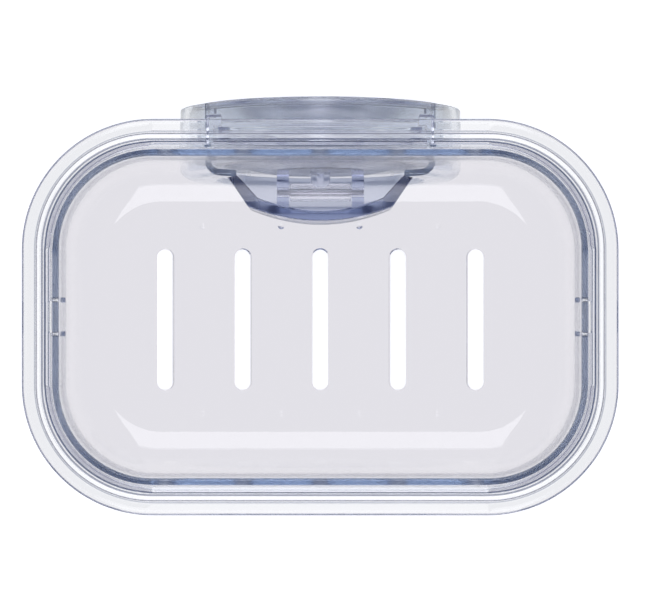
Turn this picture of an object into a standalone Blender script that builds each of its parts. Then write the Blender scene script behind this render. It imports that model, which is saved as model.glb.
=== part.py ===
"""A clear plastic soap dish that a lever-locked suction cup holds on a smooth wall.

Frame of the part: +Z is up, the wall is the plane y = 0, and the part stands out of it along -Y.
The origin is the centre of the suction cup's lip, on the wall. "Depth" below is the distance from
the wall. The dish's own pieces are drawn about the centre of its rim, with z = 0 on the rim.
"""

import math

import bmesh
import bpy

MM = 0.001

# Clearances between pieces
SEAT_GAP = 0.3 * MM
RUNNING_GAP = 0.3 * MM

# Dish rim, from above
DISH_LENGTH = 146.0 * MM
DISH_WIDTH = 97.0 * MM
DISH_CORNER_RADIUS = 32.0 * MM
DISH_WALL_OFFSET = 6.9 * MM
RIM_HEIGHT = 48.0 * MM
CORNER_STEPS = 10

# Dish frame, the ring that carries the tray
FLANGE_WIDTH = 3.2 * MM
FLANGE_THICKNESS = 2.2 * MM
FLANGE_EDGE_RADIUS = 0.6 * MM
LEDGE_DROP = 1.7 * MM
LEDGE_THICKNESS = 2.0 * MM
SKIRT_INSET = 5.6 * MM
SKIRT_THICKNESS = 1.5 * MM
SKIRT_HEIGHT = 11.0 * MM

# Soap tray
TRAY_LIP_THICKNESS = 1.6 * MM
BEAD_RADIUS = 0.8 * MM
TRAY_WALL = 1.7 * MM
TRAY_DEPTH = 25.6 * MM
TRAY_FILLET = 11.0 * MM
FILLET_STEPS = 7
SLOT_COUNT = 5
SLOT_PITCH = 20.0 * MM
SLOT_LENGTH = 36.0 * MM
SLOT_WIDTH = 4.0 * MM
SLOT_FORWARD_OFFSET = 0.8 * MM
NUB_RADIUS = 0.9 * MM
NUB_HEIGHT = 0.4 * MM
NUB_ROW_OFFSET = 24.1 * MM

# Snap tongues in the tray's two end walls, and the channels in the skirt that they slide in
TONGUE_WIDTH = 7.2 * MM
SLIT_WIDTH = 1.2 * MM
SLIT_DROP = 2.0 * MM
SLIT_HEIGHT = 10.0 * MM
BARB_REACH = 0.5 * MM
BARB_HEIGHT = 2.2 * MM
BARB_DROP = 7.0 * MM
CHANNEL_DEPTH = 0.8 * MM

# Hanger plate of the bracket, and the frame's two rails that slide down over its edges
HANGER_WIDTH = 52.0 * MM
HANGER_THICKNESS = 3.6 * MM
HANGER_SHOULDER_WIDTH = 62.0 * MM
HANGER_SHOULDER_DROP = 5.0 * MM
HANGER_LEAD_IN = 1.6 * MM
HANGER_LEAD_HEIGHT = 4.6 * MM
HANGER_FOOT_BITE = 1.3 * MM
HANGER_BORE_BITE = 0.7 * MM
HANGER_FOOT_ANGLE = math.radians(70.0)
RAIL_HEIGHT = 10.4 * MM
RAIL_WALL = 1.6 * MM
RAIL_HOOK_REACH = 1.7 * MM
RAIL_HOOK_THICKNESS = 2.8 * MM

# Wall bracket, a round collar that clips over the housing
COLLAR_RADIUS = 37.4 * MM
COLLAR_WALL = 2.0 * MM
COLLAR_BACK_DEPTH = 0.6 * MM
COLLAR_FRONT_DEPTH = 18.4 * MM
COLLAR_FILLET = 4.4 * MM
WEB_THICKNESS = 2.2 * MM
WEB_OPENING_RADIUS = 27.6 * MM
RIB_COUNT = 5
RIB_THICKNESS = 1.6 * MM
RIB_SPREAD = math.radians(180.0)
RIB_END_ANGLE = math.radians(20.0)
TOOTH_ANGLE = math.radians(4.6)
TOOTH_ROOT_ANGLE = math.radians(1.2)
TOOTH_BACK_DEPTH = 2.6 * MM
TOOTH_DEPTH = 2.0 * MM
TOOTH_THICKNESS = 1.1 * MM
TOOTH_COVER = 0.5 * MM

# Suction housing, a bell that presses on the cup's lip
HOUSING_WALL = 2.2 * MM
HOUSING_RIM_WALL = 2.6 * MM
SHOULDER_DEPTH = 13.2 * MM
SHOULDER_FILLET = 7.0 * MM
BOSS_RADIUS = 20.5 * MM
BOSS_FLAT_RADIUS = 14.5 * MM
BOSS_DEPTH = 15.3 * MM
GUIDE_WALL = 2.8 * MM
GUIDE_BACK_DEPTH = 9.2 * MM
KEY_BACK_DEPTH = 0.8 * MM
KEY_HALF_ANGLE = math.radians(51.7)

# Suction cup
CUP_LIP_WIDTH = 3.4 * MM
CUP_LIP_THICKNESS = 1.8 * MM
CUP_LIP_CHAMFER = 0.45 * MM
CUP_HOLLOW_DEPTH = 4.4 * MM
CUP_FLOOR = 0.8 * MM
CUP_BOSS_RADIUS = 14.5 * MM
CUP_BOSS_WALL = 1.2 * MM
CUP_STEPS = 5

# Pull stem, whose anchor disc sits in the cup's boss
ANCHOR_RADIUS = 12.0 * MM
ANCHOR_THICKNESS = 1.6 * MM
STEM_RADIUS = 2.6 * MM
PIN_RADIUS = 1.2 * MM

# Lock lever, a hood with a cam on each side of the stem's barrel
CAM_LOCKED = 6.6 * MM
CAM_RELEASED = 3.1 * MM
LEVER_SWING = math.radians(90.0)
CAM_STEPS = 10
CAM_INNER_SPAN = 8.4 * MM
CAM_THICKNESS = 3.2 * MM
CAM_HEEL_DROP = 3.0 * MM
LEVER_WALL = 2.6 * MM
LEVER_RADIUS = 26.2 * MM
LEVER_TOP_DROP = 0.3 * MM
LEVER_BACK_DEPTH = 15.0 * MM
LEVER_BACK_CHAMFER = 1.5 * MM
LEVER_BACK_HALF_WIDTH = 26.0 * MM
LEVER_FRONT_HALF_WIDTH = 19.4 * MM
LEVER_CORNER_DEPTH = 26.2 * MM
LEVER_FRONT_DEPTH = 30.0 * MM
LEVER_BOW_STEPS = 12
TAB_WIDTH = 26.0 * MM
TAB_THICKNESS = 2.4 * MM
TAB_END = 32.0 * MM
TAB_CORNER_RADIUS = 6.0 * MM

# Facets of the turned pieces, and the overlap of shapes that a union joins
TURN_STEPS = 48
SECTOR_STEPS = 16
PIN_STEPS = 20
ARC_STEPS = 6
ROUND_EDGE_STEPS = 3
JOIN = 0.4 * MM
OVERSHOOT = 5.0 * MM
SHARP_ANGLE = math.radians(30.0)
FULL_TURN = 2 * math.pi
QUARTER_TURN = math.pi / 2
FEWEST_CORNERS = 3

# Finishes
VINYL_COLOUR = (0.82, 0.84, 0.88)
VINYL_ROUGHNESS = 0.25
VINYL_TRANSMISSION = 0.7
STEM_COLOUR = (0.76, 0.80, 0.87)
STEEL_COLOUR = (0.72, 0.73, 0.75)
STEEL_ROUGHNESS = 0.25
HOUSING_COLOUR = (0.78, 0.81, 0.89)
BRACKET_COLOUR = (0.84, 0.87, 0.92)
LEVER_COLOUR = (0.70, 0.75, 0.87)
FRAME_COLOUR = (0.86, 0.88, 0.93)
TRAY_COLOUR = (0.87, 0.89, 0.94)
CLEAR_ROUGHNESS = 0.06
CLEAR_TRANSMISSION = 0.88

# Dish sizes that follow from the ones above
HALF_LENGTH = DISH_LENGTH / 2
HALF_WIDTH = DISH_WIDTH / 2
DISH_CENTRE = (0.0, -(DISH_WALL_OFFSET + HALF_WIDTH), RIM_HEIGHT)
SKIRT_INNER = SKIRT_INSET + SKIRT_THICKNESS
TRAY_LIP_INSET = FLANGE_WIDTH + SEAT_GAP
TRAY_LIP_UNDER = -LEDGE_DROP + SEAT_GAP
TRAY_LIP_TOP = TRAY_LIP_UNDER + TRAY_LIP_THICKNESS
TRAY_OUTER = SKIRT_INNER + SEAT_GAP
TRAY_INNER = TRAY_OUTER + TRAY_WALL
TRAY_END_FACE = HALF_LENGTH - TRAY_OUTER

# Hanger and collar sizes that follow
HANGER_FRONT_DEPTH = DISH_WALL_OFFSET + SKIRT_INSET - SEAT_GAP
HANGER_BACK_DEPTH = HANGER_FRONT_DEPTH - HANGER_THICKNESS
HANGER_TOP = RIM_HEIGHT - LEDGE_DROP - LEDGE_THICKNESS - SEAT_GAP
COLLAR_INNER = COLLAR_RADIUS - COLLAR_WALL
COLLAR_CORNER = COLLAR_RADIUS - COLLAR_FILLET
COLLAR_INNER_FILLET = COLLAR_FILLET - COLLAR_WALL
WEB_BACK_DEPTH = COLLAR_FRONT_DEPTH - WEB_THICKNESS
KEY_RADIUS = COLLAR_RADIUS
KEY_FRONT_DEPTH = HANGER_BACK_DEPTH - SEAT_GAP
KEY_SEAM = SEAT_GAP / KEY_RADIUS
COLLAR_HALF_OPENING = KEY_HALF_ANGLE + KEY_SEAM

# Housing, cup, stem and lever sizes that follow
HOUSING_RADIUS = COLLAR_INNER - SEAT_GAP
HOUSING_BACK_DEPTH = CUP_LIP_THICKNESS + SEAT_GAP
SHOULDER_CENTRE = (HOUSING_RADIUS - SHOULDER_FILLET, SHOULDER_DEPTH - SHOULDER_FILLET)
CUP_RADIUS = HOUSING_RADIUS - 2 * SEAT_GAP
CUP_POCKET_DEPTH = CUP_HOLLOW_DEPTH + CUP_FLOOR
ANCHOR_BACK_DEPTH = CUP_POCKET_DEPTH + SEAT_GAP
ANCHOR_FRONT_DEPTH = ANCHOR_BACK_DEPTH + ANCHOR_THICKNESS
CUP_BOSS_DEPTH = ANCHOR_FRONT_DEPTH + SEAT_GAP + CUP_BOSS_WALL
GUIDE_RADIUS = STEM_RADIUS + RUNNING_GAP
PIN_DEPTH = BOSS_DEPTH + CAM_LOCKED
PIN_CENTRE = (0.0, -PIN_DEPTH, 0.0)
PIN_HOLE_RADIUS = PIN_RADIUS + RUNNING_GAP
STROKE = CAM_LOCKED - CAM_RELEASED
BARREL_RADIUS = CAM_RELEASED - RUNNING_GAP
BARREL_HALF_WIDTH = CAM_INNER_SPAN - RUNNING_GAP
CAM_OUTER_SPAN = CAM_INNER_SPAN + CAM_THICKNESS
CAM_TOP = CAM_RELEASED - RUNNING_GAP
LEVER_TOP = CAM_TOP - LEVER_TOP_DROP
LEVER_BACK = PIN_DEPTH - LEVER_BACK_DEPTH
LEVER_FRONT = PIN_DEPTH - LEVER_FRONT_DEPTH
LEVER_LOWEST = -LEVER_RADIUS - OVERSHOOT


def make_material(name, colour, roughness=CLEAR_ROUGHNESS, metallic=0.0, transmission=CLEAR_TRANSMISSION):
    """A Principled material of one colour, clear and polished unless told otherwise."""
    material = bpy.data.materials.new(name)
    material.use_nodes = True
    shader = material.node_tree.nodes["Principled BSDF"]
    shader.inputs["Base Color"].default_value = (*colour, 1.0)
    shader.inputs["Roughness"].default_value = roughness
    shader.inputs["Metallic"].default_value = metallic
    shader.inputs["Transmission Weight"].default_value = transmission
    return material


def make_object(name, vertices, faces, location=(0.0, 0.0, 0.0)):
    """A mesh object with its faces turned outwards."""
    mesh = bpy.data.meshes.new(name)
    mesh.from_pydata(vertices, [], faces)
    work = bmesh.new()
    work.from_mesh(mesh)
    bmesh.ops.recalc_face_normals(work, faces=work.faces)
    work.to_mesh(mesh)
    work.free()
    made = bpy.data.objects.new(name, mesh)
    made.location = location
    bpy.context.scene.collection.objects.link(made)
    return made


def finish(made, material):
    """Gives a finished piece its material and smooth shading."""
    made.data.materials.append(material)
    made.data.shade_smooth()
    made.data.set_sharp_from_angle(angle=SHARP_ANGLE)
    return made


def combine(target, tool, operation):
    """Adds an exact Boolean with a tool that stays hidden."""
    tool.hide_render = True
    tool.display_type = "WIRE"
    modifier = target.modifiers.new(tool.name, "BOOLEAN")
    modifier.operation = operation
    modifier.solver = "EXACT"
    modifier.object = tool


def arc(centre, radius, start, end, steps):
    """Points on an arc in a plane, both ends included, angles in radians."""
    points = []
    for i in range(steps + 1):
        angle = start + (end - start) * i / steps
        points.append((centre[0] + radius * math.cos(angle), centre[1] + radius * math.sin(angle)))
    return points


def circle(radius, steps):
    """Points round a circle about the origin."""
    return arc((0.0, 0.0), radius, 0.0, FULL_TURN, steps)[:-1]


def rectangle(low_a, high_a, low_b, high_b):
    """Four corners of a rectangle."""
    return [(low_a, low_b), (high_a, low_b), (high_a, high_b), (low_a, high_b)]


def turned(name, profile, start=0.0, end=FULL_TURN, steps=TURN_STEPS):
    """Turns a closed (radius, depth) outline about the cup's axis, from angle to angle off +Z."""
    full = math.isclose(end - start, FULL_TURN)
    stations = steps if full else steps + 1
    vertices = []
    rings = []
    for radius, depth in profile:
        on_axis = math.isclose(radius, 0.0)
        ring = []
        for k in range(1 if on_axis else stations):
            angle = start + (end - start) * k / steps
            ring.append(len(vertices))
            vertices.append((radius * math.sin(angle), -depth, radius * math.cos(angle)))
        rings.append(ring * stations if on_axis else ring)
    faces = []
    for i, ring in enumerate(rings):
        following = rings[(i + 1) % len(rings)]
        for k in range(steps):
            n = (k + 1) % stations
            corners = tuple(dict.fromkeys((ring[k], ring[n], following[n], following[k])))
            if len(corners) >= FEWEST_CORNERS:
                faces.append(corners)
    if not full:
        faces.append(tuple(ring[0] for ring in rings))
        faces.append(tuple(ring[-1] for ring in rings))
    return make_object(name, vertices, faces)


def disc_tool(name, radius, back_depth, front_depth):
    """A plain round tool about the cup's axis, as finely stepped as the turned pieces."""
    outline = [(0.0, back_depth), (radius, back_depth), (radius, front_depth), (0.0, front_depth)]
    return turned(name, outline)


def prism(name, outline, axis, low, high, location=(0.0, 0.0, 0.0)):
    """Extrudes a closed outline along an axis; the outline gives the other two coordinates."""
    place = {
        "X": lambda level, a, b: (level, a, b),
        "Y": lambda level, a, b: (a, level, b),
        "Z": lambda level, a, b: (a, b, level),
    }[axis]
    vertices = [place(level, a, b) for level in (low, high) for a, b in outline]
    count = len(outline)
    faces = [tuple(range(count)), tuple(range(count, 2 * count))]
    for i in range(count):
        n = (i + 1) % count
        faces.append((i, n, n + count, i + count))
    return make_object(name, vertices, faces, location)


def rim_outline(inset):
    """The dish's rounded rectangle, drawn in by a distance from the rim's outer edge."""
    x = HALF_LENGTH - DISH_CORNER_RADIUS
    y = HALF_WIDTH - DISH_CORNER_RADIUS
    points = []
    for quarter, centre in enumerate(((x, y), (-x, y), (-x, -y), (x, -y))):
        turn = quarter * QUARTER_TURN
        points += arc(centre, DISH_CORNER_RADIUS - inset, turn, turn + QUARTER_TURN, CORNER_STEPS)
    return points


def swept_round_rim(name, section, closed):
    """Carries an (inset, height) section round the dish; an open one is capped at both ends."""
    vertices = []
    for inset, height in section:
        vertices += [(x, y, height) for x, y in rim_outline(inset)]
    loops = len(section)
    count = len(vertices) // loops
    faces = []
    for i in range(loops if closed else loops - 1):
        here = i * count
        there = (i + 1) % loops * count
        for k in range(count):
            n = (k + 1) % count
            faces.append((here + k, here + n, there + n, there + k))
    if not closed:
        faces.append(tuple(range(count)))
        faces.append(tuple(range((loops - 1) * count, loops * count)))
    return make_object(name, vertices, faces, DISH_CENTRE)


def build_suction_cup(material):
    """The soft cup: a thin cone with a flat lip on the wall and a boss that holds the anchor."""
    lip_inner = CUP_RADIUS - CUP_LIP_WIDTH
    edge = CUP_LIP_CHAMFER
    half_wall = CUP_BOSS_WALL / 2
    neck = STEM_RADIUS + SEAT_GAP
    pocket_front = ANCHOR_FRONT_DEPTH + SEAT_GAP
    pocket_radius = ANCHOR_RADIUS + SEAT_GAP
    profile = [(0.0, CUP_HOLLOW_DEPTH)]
    for i in range(1, CUP_STEPS):
        share = i / CUP_STEPS
        profile.append((lip_inner * share, CUP_HOLLOW_DEPTH * (1 + math.cos(math.pi * share)) / 2))
    profile += [
        (lip_inner, 0.0),
        (CUP_RADIUS - edge, 0.0),
        (CUP_RADIUS, edge),
        (CUP_RADIUS, CUP_LIP_THICKNESS - edge),
        (CUP_RADIUS - edge, CUP_LIP_THICKNESS),
        (lip_inner - CUP_LIP_THICKNESS, CUP_LIP_THICKNESS),
        (CUP_BOSS_RADIUS + CUP_BOSS_WALL, CUP_POCKET_DEPTH),
        (CUP_BOSS_RADIUS, CUP_BOSS_DEPTH - half_wall),
        (CUP_BOSS_RADIUS - half_wall, CUP_BOSS_DEPTH),
        (neck, CUP_BOSS_DEPTH),
        (neck, pocket_front),
        (pocket_radius, pocket_front),
        (pocket_radius, CUP_POCKET_DEPTH),
        (0.0, CUP_POCKET_DEPTH),
    ]
    finish(turned("suction_cup", profile), material)


def build_stem_anchor(material):
    """The rigid anchor disc in the cup, its round shank, and the cross barrel for the pin."""
    profile = [
        (0.0, ANCHOR_BACK_DEPTH),
        (ANCHOR_RADIUS, ANCHOR_BACK_DEPTH),
        (ANCHOR_RADIUS, ANCHOR_FRONT_DEPTH),
        (STEM_RADIUS, ANCHOR_FRONT_DEPTH),
        (STEM_RADIUS, PIN_DEPTH),
        (0.0, PIN_DEPTH),
    ]
    stem = turned("stem_anchor", profile)
    span = BARREL_HALF_WIDTH
    barrel = prism("pin_barrel", circle(BARREL_RADIUS, PIN_STEPS), "X", -span, span, PIN_CENTRE)
    combine(stem, barrel, "UNION")
    reach = span + OVERSHOOT
    hole = prism("barrel_hole", circle(PIN_HOLE_RADIUS, PIN_STEPS), "X", -reach, reach, PIN_CENTRE)
    combine(stem, hole, "DIFFERENCE")
    finish(stem, material)


def build_lever_pin(material):
    """The cross pin through both cams and the stem's barrel."""
    span = CAM_OUTER_SPAN
    outline = circle(PIN_RADIUS, PIN_STEPS)
    finish(prism("lever_pin", outline, "X", -span, span, PIN_CENTRE), material)


def tooth_section(clearance):
    """The snap tooth's (radius, depth) section, or its notch's with a clearance round it."""
    inner = KEY_RADIUS - TOOTH_COVER - TOOTH_THICKNESS - clearance
    outer = KEY_RADIUS - TOOTH_COVER + clearance
    back = TOOTH_BACK_DEPTH - clearance
    return rectangle(inner, outer, back, TOOTH_BACK_DEPTH + TOOTH_DEPTH + clearance)


def build_suction_housing(material):
    """The bell over the cup: rim, rounded shoulder, raised boss, stem guide and top key."""
    plate_back = SHOULDER_DEPTH - HOUSING_WALL
    boss_back = BOSS_DEPTH - HOUSING_WALL
    rim_inner = HOUSING_RADIUS - HOUSING_RIM_WALL
    inner_fillet = SHOULDER_FILLET - HOUSING_RIM_WALL
    half_wall = HOUSING_WALL / 2
    guide_outer = GUIDE_RADIUS + GUIDE_WALL
    profile = [(GUIDE_RADIUS, BOSS_DEPTH), (BOSS_FLAT_RADIUS, BOSS_DEPTH), (BOSS_RADIUS, SHOULDER_DEPTH)]
    profile += arc(SHOULDER_CENTRE, SHOULDER_FILLET, QUARTER_TURN, 0.0, ARC_STEPS)
    profile += [(HOUSING_RADIUS, HOUSING_BACK_DEPTH), (rim_inner, HOUSING_BACK_DEPTH)]
    inner_centre = (rim_inner - inner_fillet, plate_back - inner_fillet)
    profile += arc(inner_centre, inner_fillet, 0.0, QUARTER_TURN, ARC_STEPS)
    profile += [
        (BOSS_RADIUS - half_wall, plate_back),
        (BOSS_FLAT_RADIUS - half_wall, boss_back),
        (guide_outer, boss_back),
        (guide_outer, GUIDE_BACK_DEPTH),
        (GUIDE_RADIUS, GUIDE_BACK_DEPTH),
    ]
    housing = turned("suction_housing", profile)
    lip_clear = CUP_RADIUS + SEAT_GAP
    in_wall = HOUSING_RADIUS - HOUSING_RIM_WALL / 2
    above_lip = HOUSING_BACK_DEPTH + JOIN
    key_section = [
        (lip_clear, KEY_BACK_DEPTH),
        (KEY_RADIUS, KEY_BACK_DEPTH),
        (KEY_RADIUS, KEY_FRONT_DEPTH),
        (in_wall, KEY_FRONT_DEPTH),
        (in_wall, above_lip),
        (lip_clear, above_lip),
    ]
    key = turned("housing_key", key_section, -KEY_HALF_ANGLE, KEY_HALF_ANGLE, SECTOR_STEPS)
    combine(housing, key, "UNION")
    far = COLLAR_HALF_OPENING + KEY_SEAM
    near = KEY_HALF_ANGLE - TOOTH_ANGLE - KEY_SEAM
    for side, low, high in (("left", -far, -near), ("right", near, far)):
        notch = turned(f"key_notch_{side}", tooth_section(SEAT_GAP), low, high, 1)
        combine(housing, notch, "DIFFERENCE")
    finish(housing, material)


def hanger_outline():
    """The hanger plate from the front: a straight top on two legs that run into the collar."""
    half = HANGER_WIDTH / 2
    shoulder = HANGER_SHOULDER_WIDTH / 2
    edge_end = RIM_HEIGHT - RAIL_HEIGHT - SEAT_GAP
    in_collar = COLLAR_INNER + HANGER_FOOT_BITE
    foot_x = in_collar * math.sin(HANGER_FOOT_ANGLE)
    foot_z = in_collar * math.cos(HANGER_FOOT_ANGLE)
    right = [
        (foot_x, foot_z),
        (shoulder, edge_end - HANGER_SHOULDER_DROP),
        (half, edge_end),
        (half, HANGER_TOP),
    ]
    return right + [(-x, z) for x, z in reversed(right)]


def build_wall_bracket(material):
    """The collar round the housing, open at the top for its key, with the hanger plate above."""
    web_inner_centre = (COLLAR_CORNER, WEB_BACK_DEPTH - COLLAR_INNER_FILLET)
    outer_centre = (COLLAR_CORNER, COLLAR_FRONT_DEPTH - COLLAR_FILLET)
    profile = [(COLLAR_INNER, COLLAR_BACK_DEPTH), (COLLAR_RADIUS, COLLAR_BACK_DEPTH)]
    profile += arc(outer_centre, COLLAR_FILLET, 0.0, QUARTER_TURN, ARC_STEPS)
    profile += [(WEB_OPENING_RADIUS, COLLAR_FRONT_DEPTH), (WEB_OPENING_RADIUS, WEB_BACK_DEPTH)]
    profile += arc(web_inner_centre, COLLAR_INNER_FILLET, QUARTER_TURN, 0.0, ROUND_EDGE_STEPS)
    bracket = turned("wall_bracket", profile)

    hanger = prism("hanger_plate", hanger_outline(), "Y", -HANGER_FRONT_DEPTH, -HANGER_BACK_DEPTH)
    bore = disc_tool("hanger_bore", COLLAR_INNER + HANGER_BORE_BITE, 0.0, COLLAR_FRONT_DEPTH)
    combine(hanger, bore, "DIFFERENCE")
    lead_in = [
        (-HANGER_FRONT_DEPTH, HANGER_TOP - HANGER_LEAD_HEIGHT),
        (HANGER_LEAD_IN - HANGER_FRONT_DEPTH, HANGER_TOP),
        (HANGER_LEAD_IN - HANGER_FRONT_DEPTH, HANGER_TOP + OVERSHOOT),
        (-HANGER_FRONT_DEPTH - OVERSHOOT, HANGER_TOP + OVERSHOOT),
        (-HANGER_FRONT_DEPTH - OVERSHOOT, HANGER_TOP - HANGER_LEAD_HEIGHT),
    ]
    combine(hanger, prism("hanger_lead_in", lead_in, "X", -HANGER_WIDTH, HANGER_WIDTH), "DIFFERENCE")
    combine(bracket, hanger, "UNION")
    front = COLLAR_FRONT_DEPTH + OVERSHOOT
    reach = KEY_RADIUS + SEAT_GAP
    sector = [(0.0, -OVERSHOOT), (reach, -OVERSHOOT), (reach, front), (0.0, front)]
    opening = turned("key_opening", sector, -COLLAR_HALF_OPENING, COLLAR_HALF_OPENING, SECTOR_STEPS)
    combine(bracket, opening, "DIFFERENCE")

    in_web = (COLLAR_FILLET + COLLAR_INNER_FILLET) / 2
    rib = arc(SHOULDER_CENTRE, SHOULDER_FILLET + SEAT_GAP, QUARTER_TURN, RIB_END_ANGLE, ARC_STEPS)
    rib.append((COLLAR_CORNER + in_web, rib[-1][1]))
    rib += arc(web_inner_centre, in_web, 0.0, QUARTER_TURN, ARC_STEPS)
    rib.append((SHOULDER_CENTRE[0], web_inner_centre[1] + in_web))
    half_rib = RIB_THICKNESS / 2 / HOUSING_RADIUS
    for i in range(RIB_COUNT):
        angle = math.pi + RIB_SPREAD * (i / (RIB_COUNT - 1) - 1 / 2)
        tool = turned(f"seat_rib_{i + 1}", rib, angle - half_rib, angle + half_rib, 1)
        combine(bracket, tool, "UNION")
    far = COLLAR_HALF_OPENING + TOOTH_ROOT_ANGLE
    near = KEY_HALF_ANGLE - TOOTH_ANGLE
    for side, low, high in (("left", -far, -near), ("right", near, far)):
        combine(bracket, turned(f"snap_tooth_{side}", tooth_section(0.0), low, high, 1), "UNION")
    finish(bracket, material)


def cam_face():
    """The cam's working face, as (towards the wall, up) from the pin.

    Its reach towards the wall falls evenly with the lever's angle, so the stem's travel is in
    step with the lever and the cam keeps its running gap to the boss all the way round.
    """
    slope = -STROKE / LEVER_SWING
    points = []
    for i in range(CAM_STEPS + 1):
        angle = LEVER_SWING * i / CAM_STEPS
        reach = CAM_LOCKED - RUNNING_GAP + slope * angle
        across = reach * math.cos(angle) - slope * math.sin(angle)
        points.append((across, reach * math.sin(angle) + slope * math.cos(angle)))
    return points


def lever_plan(wall, back):
    """The lever's outline from above, drawn in by a wall: tapered sides and a bowed front."""
    corner = PIN_DEPTH - LEVER_CORNER_DEPTH + wall
    front = LEVER_FRONT + wall
    half_front = LEVER_FRONT_HALF_WIDTH - wall
    half_back = LEVER_BACK_HALF_WIDTH - wall
    bow = []
    for i in range(LEVER_BOW_STEPS + 1):
        share = 1 - 2 * i / LEVER_BOW_STEPS
        bow.append((half_front * share, front + (corner - front) * share**2))
    return [(-half_back, LEVER_BACK), (-half_back, back), (half_back, back), (half_back, LEVER_BACK)] + bow


def build_lock_lever(material):
    """The lever: a bowed hood with a thumb tab, hung on the pin by its two cams."""
    outer_plan = list(dict.fromkeys(lever_plan(0.0, LEVER_BACK)))
    lever = prism("lock_lever", outer_plan, "Z", LEVER_LOWEST, LEVER_TOP, PIN_CENTRE)
    front_depth = LEVER_FRONT_DEPTH + OVERSHOOT
    combine(lever, disc_tool("lever_round_form", LEVER_RADIUS, 0.0, front_depth), "INTERSECT")
    chamfer = [
        (LEVER_BACK - 2 * LEVER_BACK_CHAMFER, LEVER_TOP + LEVER_BACK_CHAMFER),
        (LEVER_BACK + LEVER_BACK_CHAMFER, LEVER_TOP + LEVER_BACK_CHAMFER),
        (LEVER_BACK + LEVER_BACK_CHAMFER, LEVER_TOP - 2 * LEVER_BACK_CHAMFER),
    ]
    width = LEVER_RADIUS + OVERSHOOT
    combine(lever, prism("lever_back_chamfer", chamfer, "X", -width, width, PIN_CENTRE), "DIFFERENCE")
    inner_plan = lever_plan(LEVER_WALL, LEVER_BACK + OVERSHOOT)
    inside = prism("lever_hollow", inner_plan, "Z", LEVER_LOWEST, LEVER_TOP + OVERSHOOT, PIN_CENTRE)
    round_hollow = disc_tool("lever_round_hollow", LEVER_RADIUS - LEVER_WALL, 0.0, front_depth)
    combine(inside, round_hollow, "INTERSECT")
    combine(lever, inside, "DIFFERENCE")

    bite = LEVER_FRONT + LEVER_WALL / 2
    cam = cam_face()
    heel = -CAM_LOCKED
    foot = heel - CAM_HEEL_DROP
    cam += [(bite, LEVER_TOP - LEVER_TOP_DROP), (bite, foot), (0.0, foot), (cam[0][0], heel)]
    spans = (("left", -CAM_OUTER_SPAN, -CAM_INNER_SPAN), ("right", CAM_INNER_SPAN, CAM_OUTER_SPAN))
    for side, low, high in spans:
        combine(lever, prism(f"cam_{side}", cam, "X", low, high, PIN_CENTRE), "UNION")
    reach = CAM_OUTER_SPAN + JOIN
    hole = prism("cam_pin_hole", circle(PIN_HOLE_RADIUS, PIN_STEPS), "X", -reach, reach, PIN_CENTRE)
    combine(lever, hole, "DIFFERENCE")

    half = TAB_WIDTH / 2
    low = -TAB_END + TAB_CORNER_RADIUS
    right_end = (half - TAB_CORNER_RADIUS, low)
    left_end = (TAB_CORNER_RADIUS - half, low)
    tab_top = -LEVER_RADIUS + LEVER_WALL / 2
    tab = [(half, tab_top)]
    tab += arc(right_end, TAB_CORNER_RADIUS, 0.0, -QUARTER_TURN, ARC_STEPS)
    tab += arc(left_end, TAB_CORNER_RADIUS, -QUARTER_TURN, -math.pi, ARC_STEPS)
    tab.append((-half, tab_top))
    tab_front = LEVER_FRONT + LEVER_WALL
    tab_tool = prism("thumb_tab", tab, "Y", tab_front, tab_front + TAB_THICKNESS, PIN_CENTRE)
    combine(lever, tab_tool, "UNION")
    finish(lever, material)


def build_dish_frame(material):
    """The ring that carries the tray, with the two rails that hang on the bracket's plate."""
    edge = FLANGE_EDGE_RADIUS
    under = -FLANGE_THICKNESS
    ledge_under = -LEDGE_DROP - LEDGE_THICKNESS
    section = arc((edge, -edge), edge, math.pi, QUARTER_TURN, ROUND_EDGE_STEPS)
    section += [
        (FLANGE_WIDTH, 0.0),
        (FLANGE_WIDTH, -LEDGE_DROP),
        (SKIRT_INNER, -LEDGE_DROP),
        (SKIRT_INNER, -SKIRT_HEIGHT),
        (SKIRT_INSET, -SKIRT_HEIGHT),
        (SKIRT_INSET, ledge_under),
        (FLANGE_WIDTH + edge, ledge_under),
        (FLANGE_WIDTH - edge, under),
    ]
    section += arc((edge, under + edge), edge, -QUARTER_TURN, -math.pi, ROUND_EDGE_STEPS)
    frame = swept_round_rim("dish_frame", section, closed=True)

    plate_back = HALF_WIDTH + DISH_WALL_OFFSET - HANGER_BACK_DEPTH + SEAT_GAP
    hook_back = plate_back + RAIL_HOOK_THICKNESS
    in_skirt = HALF_WIDTH - SKIRT_INSET - SKIRT_THICKNESS / 2
    side_face = HANGER_WIDTH / 2 + SEAT_GAP
    hook_tip = HANGER_WIDTH / 2 - RAIL_HOOK_REACH
    rail = [
        (side_face + RAIL_WALL, in_skirt),
        (side_face + RAIL_WALL, hook_back),
        (hook_tip, hook_back),
        (hook_tip, plate_back),
        (side_face, plate_back),
        (side_face, in_skirt),
    ]
    rail_top = under + JOIN
    for side, turn in (("left", -1), ("right", 1)):
        outline = [(turn * x, y) for x, y in rail]
        tool = prism(f"hanger_rail_{side}", outline, "Z", -RAIL_HEIGHT, rail_top, DISH_CENTRE)
        combine(frame, tool, "UNION")

    half = TONGUE_WIDTH / 2 + SEAT_GAP
    face = HALF_LENGTH - SKIRT_INNER
    for side, low, high in (
        ("left", -face - CHANNEL_DEPTH, JOIN - face),
        ("right", face - JOIN, face + CHANNEL_DEPTH),
    ):
        outline = rectangle(low, high, -half, half)
        bottom = -SKIRT_HEIGHT - OVERSHOOT
        tool = prism(f"tongue_channel_{side}", outline, "Z", bottom, OVERSHOOT, DISH_CENTRE)
        combine(frame, tool, "DIFFERENCE")
    finish(frame, material)


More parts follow.
